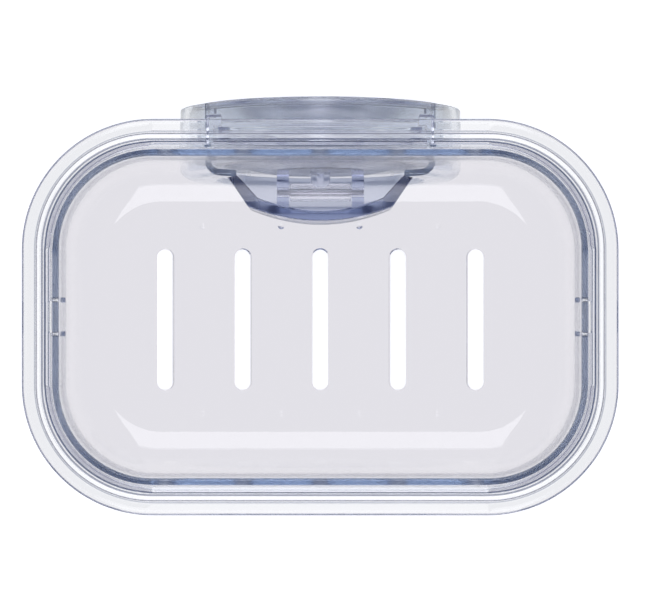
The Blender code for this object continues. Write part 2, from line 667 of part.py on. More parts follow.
def slot_outline(centre_x):
    """A drain slot with round ends that runs front to back."""
    radius = SLOT_WIDTH / 2
    reach = SLOT_LENGTH / 2 - radius
    back = arc((centre_x, reach - SLOT_FORWARD_OFFSET), radius, 0.0, math.pi, 2 * ARC_STEPS)
    front = arc((centre_x, -reach - SLOT_FORWARD_OFFSET), radius, math.pi, FULL_TURN, 2 * ARC_STEPS)
    return back + front


def cut_drain_slots(tray):
    """Cuts the drain slots through the floor and raises the nubs beyond their ends."""
    bottom = -TRAY_DEPTH - TRAY_WALL - OVERSHOOT
    for i in range(SLOT_COUNT):
        outline = slot_outline(SLOT_PITCH * (i - (SLOT_COUNT - 1) / 2))
        tool = prism(f"drain_slot_{i + 1}", outline, "Z", bottom, OVERSHOOT - TRAY_DEPTH, DISH_CENTRE)
        combine(tray, tool, "DIFFERENCE")
    low = -TRAY_DEPTH - JOIN
    high = -TRAY_DEPTH + NUB_HEIGHT
    for i in range(SLOT_COUNT - 1):
        x = SLOT_PITCH * (i - (SLOT_COUNT - 2) / 2)
        for row, side in (("front", -1), ("back", 1)):
            y = side * NUB_ROW_OFFSET - SLOT_FORWARD_OFFSET
            outline = [(x + a, y + b) for a, b in circle(NUB_RADIUS, 2 * ARC_STEPS)]
            combine(tray, prism(f"floor_nub_{row}_{i + 1}", outline, "Z", low, high, DISH_CENTRE), "UNION")


def cut_snap_tongue(tray, end, side):
    """Frees a tongue in one end wall with two slits and gives it a barb for the channel."""
    slit_top = TRAY_LIP_UNDER - SLIT_DROP
    depth = TRAY_WALL + TRAY_FILLET
    span = sorted((side * (TRAY_END_FACE - depth), side * (TRAY_END_FACE + OVERSHOOT)))
    inner = TONGUE_WIDTH / 2
    outer = inner + SLIT_WIDTH
    for row, low, high in (("front", -outer, -inner), ("back", inner, outer)):
        outline = rectangle(span[0], span[1], low, high)
        name = f"tongue_slit_{end}_{row}"
        tool = prism(name, outline, "Z", slit_top - SLIT_HEIGHT, slit_top, DISH_CENTRE)
        combine(tray, tool, "DIFFERENCE")
    root = side * (TRAY_END_FACE - TRAY_WALL / 2)
    tip = side * (TRAY_END_FACE + BARB_REACH)
    barb_low = -BARB_DROP - BARB_HEIGHT
    outline = [(root, -BARB_DROP), (tip, -BARB_DROP), (side * TRAY_END_FACE, barb_low), (root, barb_low)]
    half = inner - SEAT_GAP
    combine(tray, prism(f"tongue_barb_{end}", outline, "Y", -half, half, DISH_CENTRE), "UNION")


def build_soap_tray(material):
    """The lift-out tray: beaded lip, wall, wide floor fillet, drain slots and snap tongues."""
    fillet_centre = (TRAY_INNER + TRAY_FILLET, TRAY_FILLET - TRAY_DEPTH)
    outer_fillet = TRAY_FILLET + TRAY_WALL
    edge = BEAD_RADIUS
    lip_edge_centre = (TRAY_INNER - edge, TRAY_LIP_TOP - edge)
    bead_centre = (TRAY_LIP_INSET + BEAD_RADIUS, TRAY_LIP_TOP)
    section = arc(fillet_centre, TRAY_FILLET, -QUARTER_TURN, -math.pi, FILLET_STEPS)
    section += arc(lip_edge_centre, edge, 0.0, QUARTER_TURN, ROUND_EDGE_STEPS)
    section += arc(bead_centre, BEAD_RADIUS, 0.0, math.pi, ARC_STEPS)
    section += [(TRAY_LIP_INSET, TRAY_LIP_UNDER), (TRAY_OUTER, TRAY_LIP_UNDER)]
    section += arc(fillet_centre, outer_fillet, -math.pi, -QUARTER_TURN, FILLET_STEPS)
    tray = swept_round_rim("soap_tray", section, closed=False)
    cut_drain_slots(tray)
    cut_snap_tongue(tray, "left", -1)
    cut_snap_tongue(tray, "right", 1)
    finish(tray, material)


def main():
    """Clears the scene and builds every piece in place."""
    for existing in list(bpy.data.objects):
        bpy.data.objects.remove(existing, do_unlink=True)
    vinyl = make_material("soft_vinyl", VINYL_COLOUR, VINYL_ROUGHNESS, 0.0, VINYL_TRANSMISSION)
    build_suction_cup(vinyl)
    build_stem_anchor(make_material("stem_polycarbonate", STEM_COLOUR))
    build_lever_pin(make_material("pin_steel", STEEL_COLOUR, STEEL_ROUGHNESS, 1.0, 0.0))
    build_suction_housing(make_material("housing_polycarbonate", HOUSING_COLOUR))
    build_wall_bracket(make_material("bracket_polycarbonate", BRACKET_COLOUR))
    build_lock_lever(make_material("lever_polycarbonate", LEVER_COLOUR))
    build_dish_frame(make_material("frame_polystyrene", FRAME_COLOUR))
    build_soap_tray(make_material("tray_polystyrene", TRAY_COLOUR))


main()
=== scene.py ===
"""Looks for the clear suction soap dish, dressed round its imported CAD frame.

Sizes are in millimetres until a mesh is finished, and a finished mesh is in metres. +Z is up,
the wall is the plane y = 0, and depth is the distance from the wall, so y is minus the depth.
"""

import logging
import math
from contextlib import contextmanager
from dataclasses import dataclass
from enum import Enum
from functools import cache
from typing import Any, Iterator, Sequence

import bmesh
import bpy
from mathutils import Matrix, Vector


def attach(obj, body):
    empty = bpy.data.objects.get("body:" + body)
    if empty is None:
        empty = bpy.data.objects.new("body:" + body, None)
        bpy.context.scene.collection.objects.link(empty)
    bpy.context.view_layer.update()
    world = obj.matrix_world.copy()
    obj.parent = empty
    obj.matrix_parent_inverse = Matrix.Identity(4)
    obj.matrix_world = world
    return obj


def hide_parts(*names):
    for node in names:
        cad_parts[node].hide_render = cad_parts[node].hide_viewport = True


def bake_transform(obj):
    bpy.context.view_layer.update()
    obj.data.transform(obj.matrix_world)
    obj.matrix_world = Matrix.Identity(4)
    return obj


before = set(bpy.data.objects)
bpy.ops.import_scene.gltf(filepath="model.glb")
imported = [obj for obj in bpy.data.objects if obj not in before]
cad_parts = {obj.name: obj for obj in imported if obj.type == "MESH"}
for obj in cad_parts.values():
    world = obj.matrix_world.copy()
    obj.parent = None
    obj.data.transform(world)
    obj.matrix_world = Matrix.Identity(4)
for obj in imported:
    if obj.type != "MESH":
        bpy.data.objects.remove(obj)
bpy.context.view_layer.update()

LOG = logging.getLogger("soap_dish")

Pair = tuple[float, float]
Point = tuple[float, float, float]
Outline = list[Pair]

MM = 0.001
ORIGIN = (0.0, 0.0, 0.0)
FULL_TURN = 2 * math.pi
QUARTER_TURN = math.pi / 2

# How far a cutter stands past what it cuts, how deep a joined form is let in, and the play
# between pieces that sit in or on each other
OVERSHOOT = 5.0
JOIN = 0.4
SEAT_GAP = 0.3

# How many chords each round form has
TURN_STEPS = 180
SECTOR_STEPS = 54
NOTCH_STEPS = 6
ROD_STEPS = 48
BARREL_STEPS = 64
SLOT_END_STEPS = 16
FILLET_STEPS = 14
NUB_STEPS = 20
HOLLOW_STEPS = 16
CAM_STEPS = 30
BOW_STEPS = 20
RIB_SEAT_STEPS = 10
RIB_BACK_STEPS = 8
RIB_TURN_STEPS = 2
FLOOR_STEPS = 96
EDGE_STEPS = 4
EDGE_TURN = [QUARTER_TURN * i / EDGE_STEPS for i in range(EDGE_STEPS + 1)]

# A rounded corner's longest chord by its radius, the half angle past which a corner counts as
# straight, and the least share of a side that a mitred corner is measured by
WIDE_RADIUS = 2.0
WIDE_CHORD = math.radians(12.0)
NARROW_CHORD = math.radians(22.0)
STRAIGHT = QUARTER_TURN - 1e-3
MITRE_LIMIT = 0.3

# Points nearer than this are one, and a face whose normal is steeper than LEVEL is level
MERGE_DISTANCE = 0.0005
LEVEL = 1 - 1e-6

# The angle that shading keeps sharp, and the least area and width of a face that it keeps flat
SHARP_ANGLE = math.radians(32.0)
FLAT_AREA = 6.0
FLAT_WIDTH = 2.0

# The values that nearly all of a noise texture lies between, and a Mix node's colour sockets
NOISE_RANGE = (0.35, 0.7)
MIX_A, MIX_B, MIX_RESULT = 6, 7, 2


class End(Enum):
    """One of two opposite ends, as the sign of its coordinate."""

    @property
    def label(self) -> str:
        """The end's name in an object's name."""
        return self.name.lower()

    def span(self, near: float, far: float) -> list[float]:
        """Two distances out towards this end, as coordinates in rising order."""
        return sorted((self.value * near, self.value * far))


class Side(End):
    """The two ends of the dish, along x."""

    LEFT = -1
    RIGHT = 1


class Row(End):
    """Towards the room and towards the wall, along y."""

    FRONT = -1
    BACK = 1


class Boolean(Enum):
    """What a Boolean does with its tool."""

    ADD = "UNION"
    CUT = "DIFFERENCE"
    TRIM = "INTERSECT"


class Axis(Enum):
    """The axis that a form is built along, as the order in which its outline gives the others."""

    X = "x"
    Y = "y"
    Z = "z"

    def place(self, level: float, a: float, b: float) -> Vector:
        """The point at a level along the axis, with its other two coordinates in order."""
        places = {Axis.X: (level, a, b), Axis.Y: (a, level, b), Axis.Z: (a, b, level)}
        return Vector(places[self])


# Outlines


def arc(centre: Pair, radius: float, start: float, end: float, steps: int) -> Outline:
    """Points on an arc, both ends included.

    Args:
        centre: the arc's centre.
        radius: its radius.
        start: the angle it starts at, in radians.
        end: the angle it ends at.
        steps: how many chords it has.

    Returns:
        The arc's points.
    """
    angles = [start + (end - start) * i / steps for i in range(steps + 1)]
    return [(centre[0] + radius * math.cos(t), centre[1] + radius * math.sin(t)) for t in angles]


def circle(radius: float, steps: int = ROD_STEPS) -> Outline:
    """A closed circle about the origin."""
    return arc((0.0, 0.0), radius, 0.0, FULL_TURN, steps)[:-1]


def rounded(corners: Sequence[Point], closed: bool = True) -> Outline:
    """Rounds the corners of a polygon, each by its own radius.

    Args:
        corners: (a, b, radius) of each corner; a radius of 0 stays sharp.
        closed: False leaves the first and last corner as they are.

    Returns:
        The outline with an arc at each rounded corner.
    """
    points: Outline = []
    count = len(corners)
    for i, (a, b, radius) in enumerate(corners):
        at_end = not closed and i in (0, count - 1)
        here = Vector((a, b))
        back = (Vector(corners[i - 1][:2]) - here).normalized()
        ahead = (Vector(corners[(i + 1) % count][:2]) - here).normalized()
        half = math.acos(max(-1.0, min(1.0, back.dot(ahead)))) / 2
        if radius <= 0 or at_end or half > STRAIGHT:
            points.append((a, b))
            continue
        centre = here + (back + ahead).normalized() * radius / math.sin(half)
        first = here + back * radius / math.tan(half) - centre
        last = here + ahead * radius / math.tan(half) - centre
        start = math.atan2(first.y, first.x)
        turn = (math.atan2(last.y, last.x) - start + math.pi) % FULL_TURN - math.pi
        chord = WIDE_CHORD if radius > WIDE_RADIUS else NARROW_CHORD
        steps = max(2, math.ceil(abs(turn) / chord))
        points += arc((centre.x, centre.y), radius, start, start + turn, steps)
    return points


def box(low_a: float, high_a: float, low_b: float, high_b: float, corner: float = 0.0) -> Outline:
    """A rectangle between two places along each coordinate, with its corners rounded."""
    places = ((low_a, low_b), (high_a, low_b), (high_a, high_b), (low_a, high_b))
    return rounded([(a, b, corner) for a, b in places])


def offset(outline: Outline, distance: float) -> Outline:
    """Grows a closed outline by a distance, or shrinks it by a negative one.

    Args:
        outline: the outline's points.
        distance: how far each side moves outwards.

    Returns:
        The moved outline, with as many points.
    """
    if distance == 0:
        return list(outline)
    count = len(outline)
    doubled = sum(
        outline[i - 1][0] * outline[i][1] - outline[i][0] * outline[i - 1][1] for i in range(count)
    )
    sign = 1.0 if doubled > 0 else -1.0
    moved: Outline = []
    for i in range(count):
        here = Vector(outline[i])
        before = (here - Vector(outline[i - 1])).normalized()
        after = (Vector(outline[(i + 1) % count]) - here).normalized()
        normals = [Vector((d.y, -d.x)) * sign for d in (before, after)]
        middle = (normals[0] + normals[1]).normalized()
        reach = distance / max(MITRE_LIMIT, middle.dot(normals[0]))
        moved.append((here.x + middle.x * reach, here.y + middle.y * reach))
    return moved


def round_rim(level: float, edge: float, way: int) -> list[Pair]:
    """The (level, growth) pairs that round a solid's top rim, way 1, or its bottom one, way -1."""
    turn = EDGE_TURN[::way]
    return [(level - way * edge * (1 - math.sin(t)), -edge * (1 - math.cos(t))) for t in turn]


def flared_rim(level: float, edge: float, way: int) -> list[Pair]:
    """The (level, growth) pairs of a cutter that bevels an opening's top rim or its bottom one."""
    turn = EDGE_TURN[::-way]
    return [(level - way * edge * math.sin(t), edge * (1 - math.sin(t))) for t in turn]


# Meshes


def linked(name: str, data: bpy.types.ID) -> bpy.types.Object:
    """An object that shows its data in the scene.

    Args:
        name: the object's name.
        data: its mesh, curve, light or camera.

    Returns:
        The new object, at the origin.
    """
    made = bpy.data.objects.new(name, data)
    bpy.context.scene.collection.objects.link(made)
    return made


@contextmanager
def editing(mesh: bpy.types.Mesh) -> Iterator[bmesh.types.BMesh]:
    """Opens a mesh for edits and writes them back.

    Args:
        mesh: the mesh to edit.

    Yields:
        Its editable form.
    """
    work = bmesh.new()
    work.from_mesh(mesh)
    yield work
    work.to_mesh(mesh)
    work.free()


def mesh_object(name: str, vertices: Sequence, faces: Sequence) -> bpy.types.Object:
    """A mesh object whose closed shell faces outwards.

    Args:
        name: the object's name.
        vertices: its points in millimetres.
        faces: the corners of each face.

    Returns:
        The new object, in metres, at the origin.
    """
    mesh = bpy.data.meshes.new(name)
    mesh.from_pydata([Vector(v) * MM for v in vertices], [], faces)
    with editing(mesh) as work:
        bmesh.ops.recalc_face_normals(work, faces=work.faces)
    return linked(name, mesh)


def stacked(name: str, rings: Sequence[Sequence[Vector]]) -> bpy.types.Object:
    """Joins rings of as many points each into one mesh, closed at both ends.

    Args:
        name: the object's name.
        rings: the points of each ring.

    Returns:
        The closed object.
    """
    count = len(rings[0])
    total = len(rings) * count
    faces: list[tuple[int, ...]] = [tuple(range(count)), tuple(range(total - count, total))]
    for here in range(0, total - count, count):
        for k in range(count):
            n = (k + 1) % count
            faces.append((here + k, here + n, here + n + count, here + k + count))
    return mesh_object(name, [point for ring in rings for point in ring], faces)


def turned(
    name: str, profile: Outline, ends: Sequence[float] = (0.0, FULL_TURN), steps: int = TURN_STEPS
) -> bpy.types.Object:
    """Turns a closed (radius, depth) profile about the cup's axis.

    Args:
        name: the object's name.
        profile: the section's points; a radius of 0 lies on the axis.
        ends: the angles off +Z that the turn runs between; a full turn is closed on itself.
        steps: how many chords the turn has.

    Returns:
        The turned object.
    """
    start, end = ends
    full = math.isclose(end - start, FULL_TURN)
    stations = steps if full else steps + 1
    vertices: list[Point] = []
    rings: list[list[int]] = []
    for radius, depth in profile:
        on_axis = math.isclose(radius, 0.0, abs_tol=1e-9)
        first = len(vertices)
        for k in range(1 if on_axis else stations):
            angle = start + (end - start) * k / steps
            vertices.append((radius * math.sin(angle), -depth, radius * math.cos(angle)))
        rings.append([first] * stations if on_axis else list(range(first, len(vertices))))
    faces = []
    for ring, following in zip(rings, rings[1:] + rings[:1]):
        for k in range(steps):
            n = (k + 1) % stations
            corners = tuple(dict.fromkeys((ring[k], ring[n], following[n], following[k])))
            if len(corners) > 2:
                faces.append(corners)
    if not full:
        faces += [tuple(ring[k] for ring in rings) for k in (0, -1)]
    return mesh_object(name, vertices, faces)


def lofted(
    name: str, outline: Outline, levels: Sequence[Pair], axis: Axis, centre: Point = ORIGIN
) -> bpy.types.Object:
    """Lofts an outline through levels along an axis, growing or shrinking it on the way.

    Args:
        name: the object's name.
        outline: the closed outline.
        levels: (level, growth) of each section, in order.
        axis: the axis that the levels are measured along.
        centre: the point that the outline and the levels are drawn about.

    Returns:
        The closed loft.
    """
    rings = [
        [axis.place(level, a, b) + Vector(centre) for a, b in offset(outline, growth)]
        for level, growth in levels
    ]
    return stacked(name, rings)


def slab(
    name: str,
    outline: Outline,
    axis: Axis,
    ends: Sequence[float],
    edge: float = 0.0,
    centre: Point = ORIGIN,
) -> bpy.types.Object:
    """A slab of an outline, with both its rims rounded by an edge radius.

    Args:
        name: the object's name.
        outline: the closed outline.
        axis: the axis that it is extruded along.
        ends: its lowest and highest level.
        edge: the radius of its two rims; 0 leaves them sharp.
        centre: the point that the outline and the levels are drawn about.

    Returns:
        The slab.
    """
    low, high = ends
    levels = [(low, 0.0), (high, 0.0)]
    if edge > 0:
        levels = round_rim(low, edge, -1) + round_rim(high, edge, 1)
    return lofted(name, outline, levels, axis, centre)


def combine(target: bpy.types.Object, how: Boolean, tool: bpy.types.Object) -> None:
    """Adds an exact Boolean to a target; settle() applies it and deletes the tool.

    Args:
        target: the object that the tool works on.
        how: what the Boolean does.
        tool: the closed object that it does it with.
    """
    modifier = target.modifiers.new(tool.name, "BOOLEAN")
    modifier.operation = how.value
    modifier.solver = "EXACT"
    modifier.object = tool


def settle(made: bpy.types.Object) -> bpy.types.Object:
    """Turns an object with modifiers into a plain mesh and deletes the tools that it used.

    Args:
        made: the object with its Booleans or Geometry Nodes.

    Returns:
        The same object, its modifiers gone and its result in its mesh.
    """
    graph = bpy.context.evaluated_depsgraph_get()
    graph.update()
    result = bpy.data.meshes.new_from_object(
        made.evaluated_get(graph), preserve_all_data_layers=True, depsgraph=graph
    )
    tools = [m.object for m in made.modifiers if m.type == "BOOLEAN"]
    made.modifiers.clear()
    made.data = result
    for tool in tools:
        bpy.data.objects.remove(tool)
    return made


def gridded(made: bpy.types.Object, across: Sequence[float], along: Sequence[float]) -> None:
    """Splits the level faces of a mesh on a grid, so that each later cut is a small one.

    Args:
        made: the object.
        across: the x of each split.
        along: the y of each split.
    """
    with editing(made.data) as work:
        for normal, places in ((Vector((1, 0, 0)), across), (Vector((0, 1, 0)), along)):
            for place in places:
                level = [f for f in work.faces if abs(f.normal.z) > LEVEL and len(f.verts) > 3]
                edges = {e for f in level for e in f.edges}
                corners = {v for f in level for v in f.verts}
                geometry = [*level, *edges, *corners]
                bmesh.ops.bisect_plane(
                    work, geom=geometry, plane_co=normal * place * MM, plane_no=normal
                )


def polish(mesh: bpy.types.Mesh) -> None:
    """Merges stray doubles and shades smooth, with flat faces kept flat up to their rims.

    Args:
        mesh: the finished piece's mesh, which gets its own corner normals.
    """
    with editing(mesh) as work:
        bmesh.ops.remove_doubles(work, verts=work.verts, dist=MERGE_DISTANCE * MM)
    mesh.shade_smooth()
    mesh.set_sharp_from_angle(angle=SHARP_ANGLE)
    widest: dict[int, bpy.types.MeshPolygon] = {}
    for face in mesh.polygons:
        edges = [mesh.edges[mesh.loops[corner].edge_index] for corner in face.loop_indices]
        longest = max(
            (mesh.vertices[edge.vertices[0]].co - mesh.vertices[edge.vertices[1]].co).length
            for edge in edges
        )
        # The long narrow chords of a fillet aren't flat faces
        if face.area < max(FLAT_AREA * MM, FLAT_WIDTH * longest) * MM:
            continue
        for vertex in face.vertices:
            if vertex not in widest or face.area > widest[vertex].area:
                widest[vertex] = face
    limit = math.cos(SHARP_ANGLE)
    normals = []
    for face in mesh.polygons:
        for corner in face.loop_indices:
            flat = widest.get(mesh.loops[corner].vertex_index)
            if flat and flat.normal.dot(face.normal) > limit:
                normals.append(flat.normal.copy())
            else:
                normals.append(mesh.corner_normals[corner].vector.copy())
    mesh.normals_split_custom_set(normals)


# Nodes


def add_node(
    tree: bpy.types.NodeTree,
    kind: str,
    inputs: dict[str | int, Any] | None = None,
    **settings: Any,
) -> bpy.types.Node:
    """Adds a node with its settings, and sets or links its inputs.

    Args:
        tree: the node tree.
        kind: the node's type name.
        inputs: by name or number, a value, a socket, or a node for its first output.
        settings: the node's properties.

    Returns:
        The new node.
    """
    node = tree.nodes.new(kind)
    for name, value in settings.items():
        setattr(node, name, value)
    for key, value in (inputs or {}).items():
        source = value.outputs[0] if isinstance(value, bpy.types.Node) else value
        if isinstance(source, bpy.types.NodeSocket):
            tree.links.new(source, node.inputs[key])
        else:
            node.inputs[key].default_value = source
    return node


def emptied(owner: bpy.types.Material | bpy.types.World) -> bpy.types.NodeTree:
    """The node tree of a material or a world, cleared.

    Args:
        owner: the material or the world.

    Returns:
        Its empty tree.
    """
    owner.use_nodes = True
    owner.node_tree.nodes.clear()
    return owner.node_tree


def new_tree(name: str, inputs: dict[str, str]) -> tuple[bpy.types.NodeTree, Any]:
    """A new Geometry Nodes tree with named inputs, its material among them.

    Args:
        name: the tree's name.
        inputs: the kind of each other input, such as Float or Vector.

    Returns:
        The tree and the sockets that give its inputs.
    """
    tree = bpy.data.node_groups.new(name, "GeometryNodeTree")
    tree.interface.new_socket("Geometry", in_out="OUTPUT", socket_type="NodeSocketGeometry")
    for label, kind in {**inputs, "Material": "Material"}.items():
        tree.interface.new_socket(label, in_out="INPUT", socket_type=f"NodeSocket{kind}")
    return tree, tree.nodes.new("NodeGroupInput").outputs


def end_tree(tree: bpy.types.NodeTree, given: Any, geometry: bpy.types.Node) -> None:
    """Ends a tree: its instances are made real and get their material.

    Args:
        tree: the tree to end.
        given: the sockets that give its inputs.
        geometry: the node whose geometry it ends with.
    """
    real = add_node(tree, "GeometryNodeRealizeInstances", {"Geometry": geometry})
    dressed = add_node(
        tree, "GeometryNodeSetMaterial", {"Geometry": real, "Material": given["Material"]}
    )
    add_node(tree, "NodeGroupOutput", {"Geometry": dressed})


def rim_sweep_tree() -> bpy.types.NodeTree:
    """A tree that carries a section round a rectangle with rounded corners.

    Returns:
        The tree.
    """
    kinds = {
        "Length": "Float",
        "Width": "Float",
        "Corner Radius": "Float",
        "Corner Steps": "Int",
        "Section": "Object",
        "Place": "Vector",
    }
    tree, given = new_tree("rim_sweep", kinds)
    rectangle = add_node(
        tree,
        "GeometryNodeCurvePrimitiveQuadrilateral",
        {"Width": given["Length"], "Height": given["Width"]},
    )
    path = add_node(
        tree,
        "GeometryNodeFilletCurve",
        {"Curve": rectangle, "Radius": given["Corner Radius"], "Count": given["Corner Steps"]},
        mode="POLY",
    )
    upright = add_node(tree, "GeometryNodeSetCurveNormal", {"Curve": path}, mode="Z_UP")
    section = add_node(tree, "GeometryNodeObjectInfo", {"Object": given["Section"]})
    swept = add_node(
        tree,
        "GeometryNodeCurveToMesh",
        {"Curve": upright, "Profile Curve": section.outputs["Geometry"]},
    )
    placed = add_node(
        tree, "GeometryNodeTransform", {"Geometry": swept, "Translation": given["Place"]}
    )
    end_tree(tree, given, placed)
    return tree


@cache
def repeat_tree() -> bpy.types.NodeTree:
    """A tree that repeats a shape, each a step and a turn further than the one before.

    Returns:
        The tree, which is made once.
    """
    vectors = dict.fromkeys(("First", "Step", "First Turn", "Step Turn"), "Vector")
    tree, given = new_tree("repeated_shape", {"Count": "Int", "Shape": "Object", **vectors})
    points = add_node(
        tree,
        "GeometryNodeMeshLine",
        {"Count": given["Count"], "Start Location": given["First"], "Offset": given["Step"]},
    )
    index = add_node(tree, "GeometryNodeInputIndex")
    turn = add_node(
        tree,
        "ShaderNodeVectorMath",
        {0: index, 1: given["Step Turn"], 2: given["First Turn"]},
        operation="MULTIPLY_ADD",
    )
    shape = add_node(tree, "GeometryNodeObjectInfo", {"Object": given["Shape"]})
    placed = add_node(
        tree,
        "GeometryNodeInstanceOnPoints",
        {"Points": points, "Instance": shape.outputs["Geometry"], "Rotation": turn},
    )
    end_tree(tree, given, placed)
    return tree


def grown(name: str, tree: bpy.types.NodeTree, values: dict[str, Any]) -> bpy.types.Object:
    """An object that a Geometry Nodes tree makes, settled into a plain mesh.

    Args:
        name: the object's name.
        tree: the tree.
        values: the value of each named input; an object among them is deleted after its use.

    Returns:
        The object with the tree's result in its mesh.
    """
    made = mesh_object(name, [ORIGIN], [])
    modifier = made.modifiers.new(tree.name, "NODES")
    modifier.node_group = tree
    for item in tree.interface.items_tree:
        if item.in_out == "INPUT":
            modifier[item.identifier] = values[item.name]
    settle(made)
    for value in values.values():
        if isinstance(value, bpy.types.Object):
            bpy.data.objects.remove(value)
    return made


def repeated(
    name: str,
    shape: bpy.types.Object,
    material: bpy.types.Material,
    count: int,
    first: Point = ORIGIN,
    step: Point = ORIGIN,
    first_turn: Point = ORIGIN,
    step_turn: Point = ORIGIN,
) -> bpy.types.Object:
    """A row or a fan of one shape, as one mesh.

    Args:
        name: the object's name.
        shape: the shape to repeat, which is deleted after its use.
        material: what it is made of.
        count: how many there are.
        first: the place of the first one, in millimetres.
        step: how far on the next one stands, in millimetres.
        first_turn: the turn of the first one about the axes, in radians.
        step_turn: how much further the next one is turned.

    Returns:
        The object.
    """
    values = {
        "Count": count,
        "Shape": shape,
        "First": tuple(c * MM for c in first),
        "Step": tuple(c * MM for c in step),
        "First Turn": first_turn,
        "Step Turn": step_turn,
        "Material": material,
    }
    return grown(name, repeat_tree(), values)


# Finishes


def linear(colour: str, alpha: float = 1.0) -> tuple[float, float, float, float]:
    """The linear RGBA of a colour.

    Args:
        colour: the colour as sRGB hex.
        alpha: the fourth value, which is passed on as it is.

    Returns:
        Its linear red, green and blue, and the alpha.
    """
    parts = [int(colour.lstrip("#")[i : i + 2], 16) / 255 for i in (0, 2, 4)]
    red, green, blue = (c / 12.92 if c <= 0.04045 else ((c + 0.055) / 1.055) ** 2.4 for c in parts)
    return (red, green, blue, alpha)


WHITE = linear("#FFFFFF")


class Resin(Enum):
    """The refractive index of each clear moulding material."""

    ACRYLIC = 1.49
    POLYCARBONATE = 1.585
    SOFT_VINYL = 1.53


@dataclass(frozen=True)
class ClearPlastic:
    """A clear moulding, whose colour comes from how far light travels in it.

    Attributes:
        name: the material's name.
        resin: what it is moulded from.
        body: what is left of white light after one depth of plastic.
        depth: that depth, in millimetres.
        skin: the colour of its skin.
        bands: its skin where that varies, as painted shade: height in millimetres, colour and added
            roughness.
        polish: the roughness of the smoothest and the dullest spots.
        ripple: the size of the flow ripple of the moulding, in millimetres.
        relief: how far the ripple stands up, in millimetres.
        haze_spread: how many ripples wide a patch of handling haze is.
        transmission: how much light goes through rather than scattering.
        glint: heights that a painted highlight on a bead's crown grows between, in millimetres, and
            the strength of its white glow.
    """

    name: str
    resin: Resin
    body: str
    depth: float
    skin: str = "#FBFBFD"
    bands: tuple[tuple[float, str, float], ...] = ()
    polish: Pair = (0.012, 0.04)
    ripple: float = 24.0
    relief: float = 0.003
    haze_spread: float = 3.0
    transmission: float = 1.0
    glint: Point | None = None

    @cache
    def material(self) -> bpy.types.Material:
        """The node material of this finish.

        Returns:
            The material, which is made once.
        """
        made = bpy.data.materials.new(self.name)
        tree = emptied(made)
        place = add_node(tree, "ShaderNodeTexCoord").outputs["Object"]
        # Flow ripple: the slow swell that an injection mould leaves on a flat clear face
        scale = 1 / (self.ripple * MM)
        swell = add_node(
            tree, "ShaderNodeTexNoise", {"Vector": place, "Scale": scale, "Detail": 1.0}
        )
        bump = add_node(tree, "ShaderNodeBump", {"Height": swell, "Distance": self.relief * MM})
        # Handling haze: patches a few centimetres wide where the polish is a little duller
        scale = 1 / (self.haze_spread * self.ripple * MM)
        haze = add_node(
            tree, "ShaderNodeTexNoise", {"Vector": place, "Scale": scale, "Detail": 3.0}
        )
        low, high = NOISE_RANGE
        smooth, dull = self.polish
        dullness = add_node(
            tree,
            "ShaderNodeMapRange",
            {"Value": haze, "From Min": low, "From Max": high, "To Min": smooth, "To Max": dull},
        )
        skin: Any = linear(self.skin)
        # Painted shade: by height, the skin takes grey tints and thin dark lines where light leaves
        # shade; some bands also add roughness
        if self.bands:
            height = add_node(tree, "ShaderNodeSeparateXYZ", {0: place}).outputs["Z"]
            low, high = self.bands[0][0], self.bands[-1][0]
            share = add_node(
                tree,
                "ShaderNodeMapRange",
                {"Value": height, "From Min": low * MM, "From Max": high * MM},
            )
            skin = add_node(tree, "ShaderNodeValToRGB", {"Fac": share})
            stops = skin.color_ramp.elements
            for level, _, _ in self.bands[1:-1]:
                stops.new((level - low) / (high - low))
            for stop, (_, colour, added) in zip(stops, self.bands):
                stop.color = linear(colour, added)
            dullness = add_node(
                tree, "ShaderNodeMath", {0: dullness, 1: skin.outputs["Alpha"]}, operation="ADD"
            )
        painted_shine: dict[str, Any] = {}
        if self.glint:
            # Painted highlight: the bead's crown glows white by emission, brighter than the two
            # lamps' reflection makes it
            height = add_node(tree, "ShaderNodeSeparateXYZ", {0: place}).outputs["Z"]
            start, end, strength = self.glint
            glow = add_node(
                tree,
                "ShaderNodeMapRange",
                {
                    "Value": height,
                    "From Min": start * MM,
                    "From Max": end * MM,
                    "To Max": strength,
                },
            )
            painted_shine = {"Emission Color": WHITE, "Emission Strength": glow}
        shader = add_node(
            tree,
            "ShaderNodeBsdfPrincipled",
            {
                "Base Color": skin,
                "IOR": self.resin.value,
                "Roughness": dullness,
                "Transmission Weight": self.transmission,
                "Normal": bump,
                **painted_shine,
            },
        )
        body = add_node(
            tree,
            "ShaderNodeVolumeAbsorption",
            {"Color": linear(self.body), "Density": 1 / (self.depth * MM)},
        )
        add_node(tree, "ShaderNodeOutputMaterial", {"Surface": shader, "Volume": body})
        return made


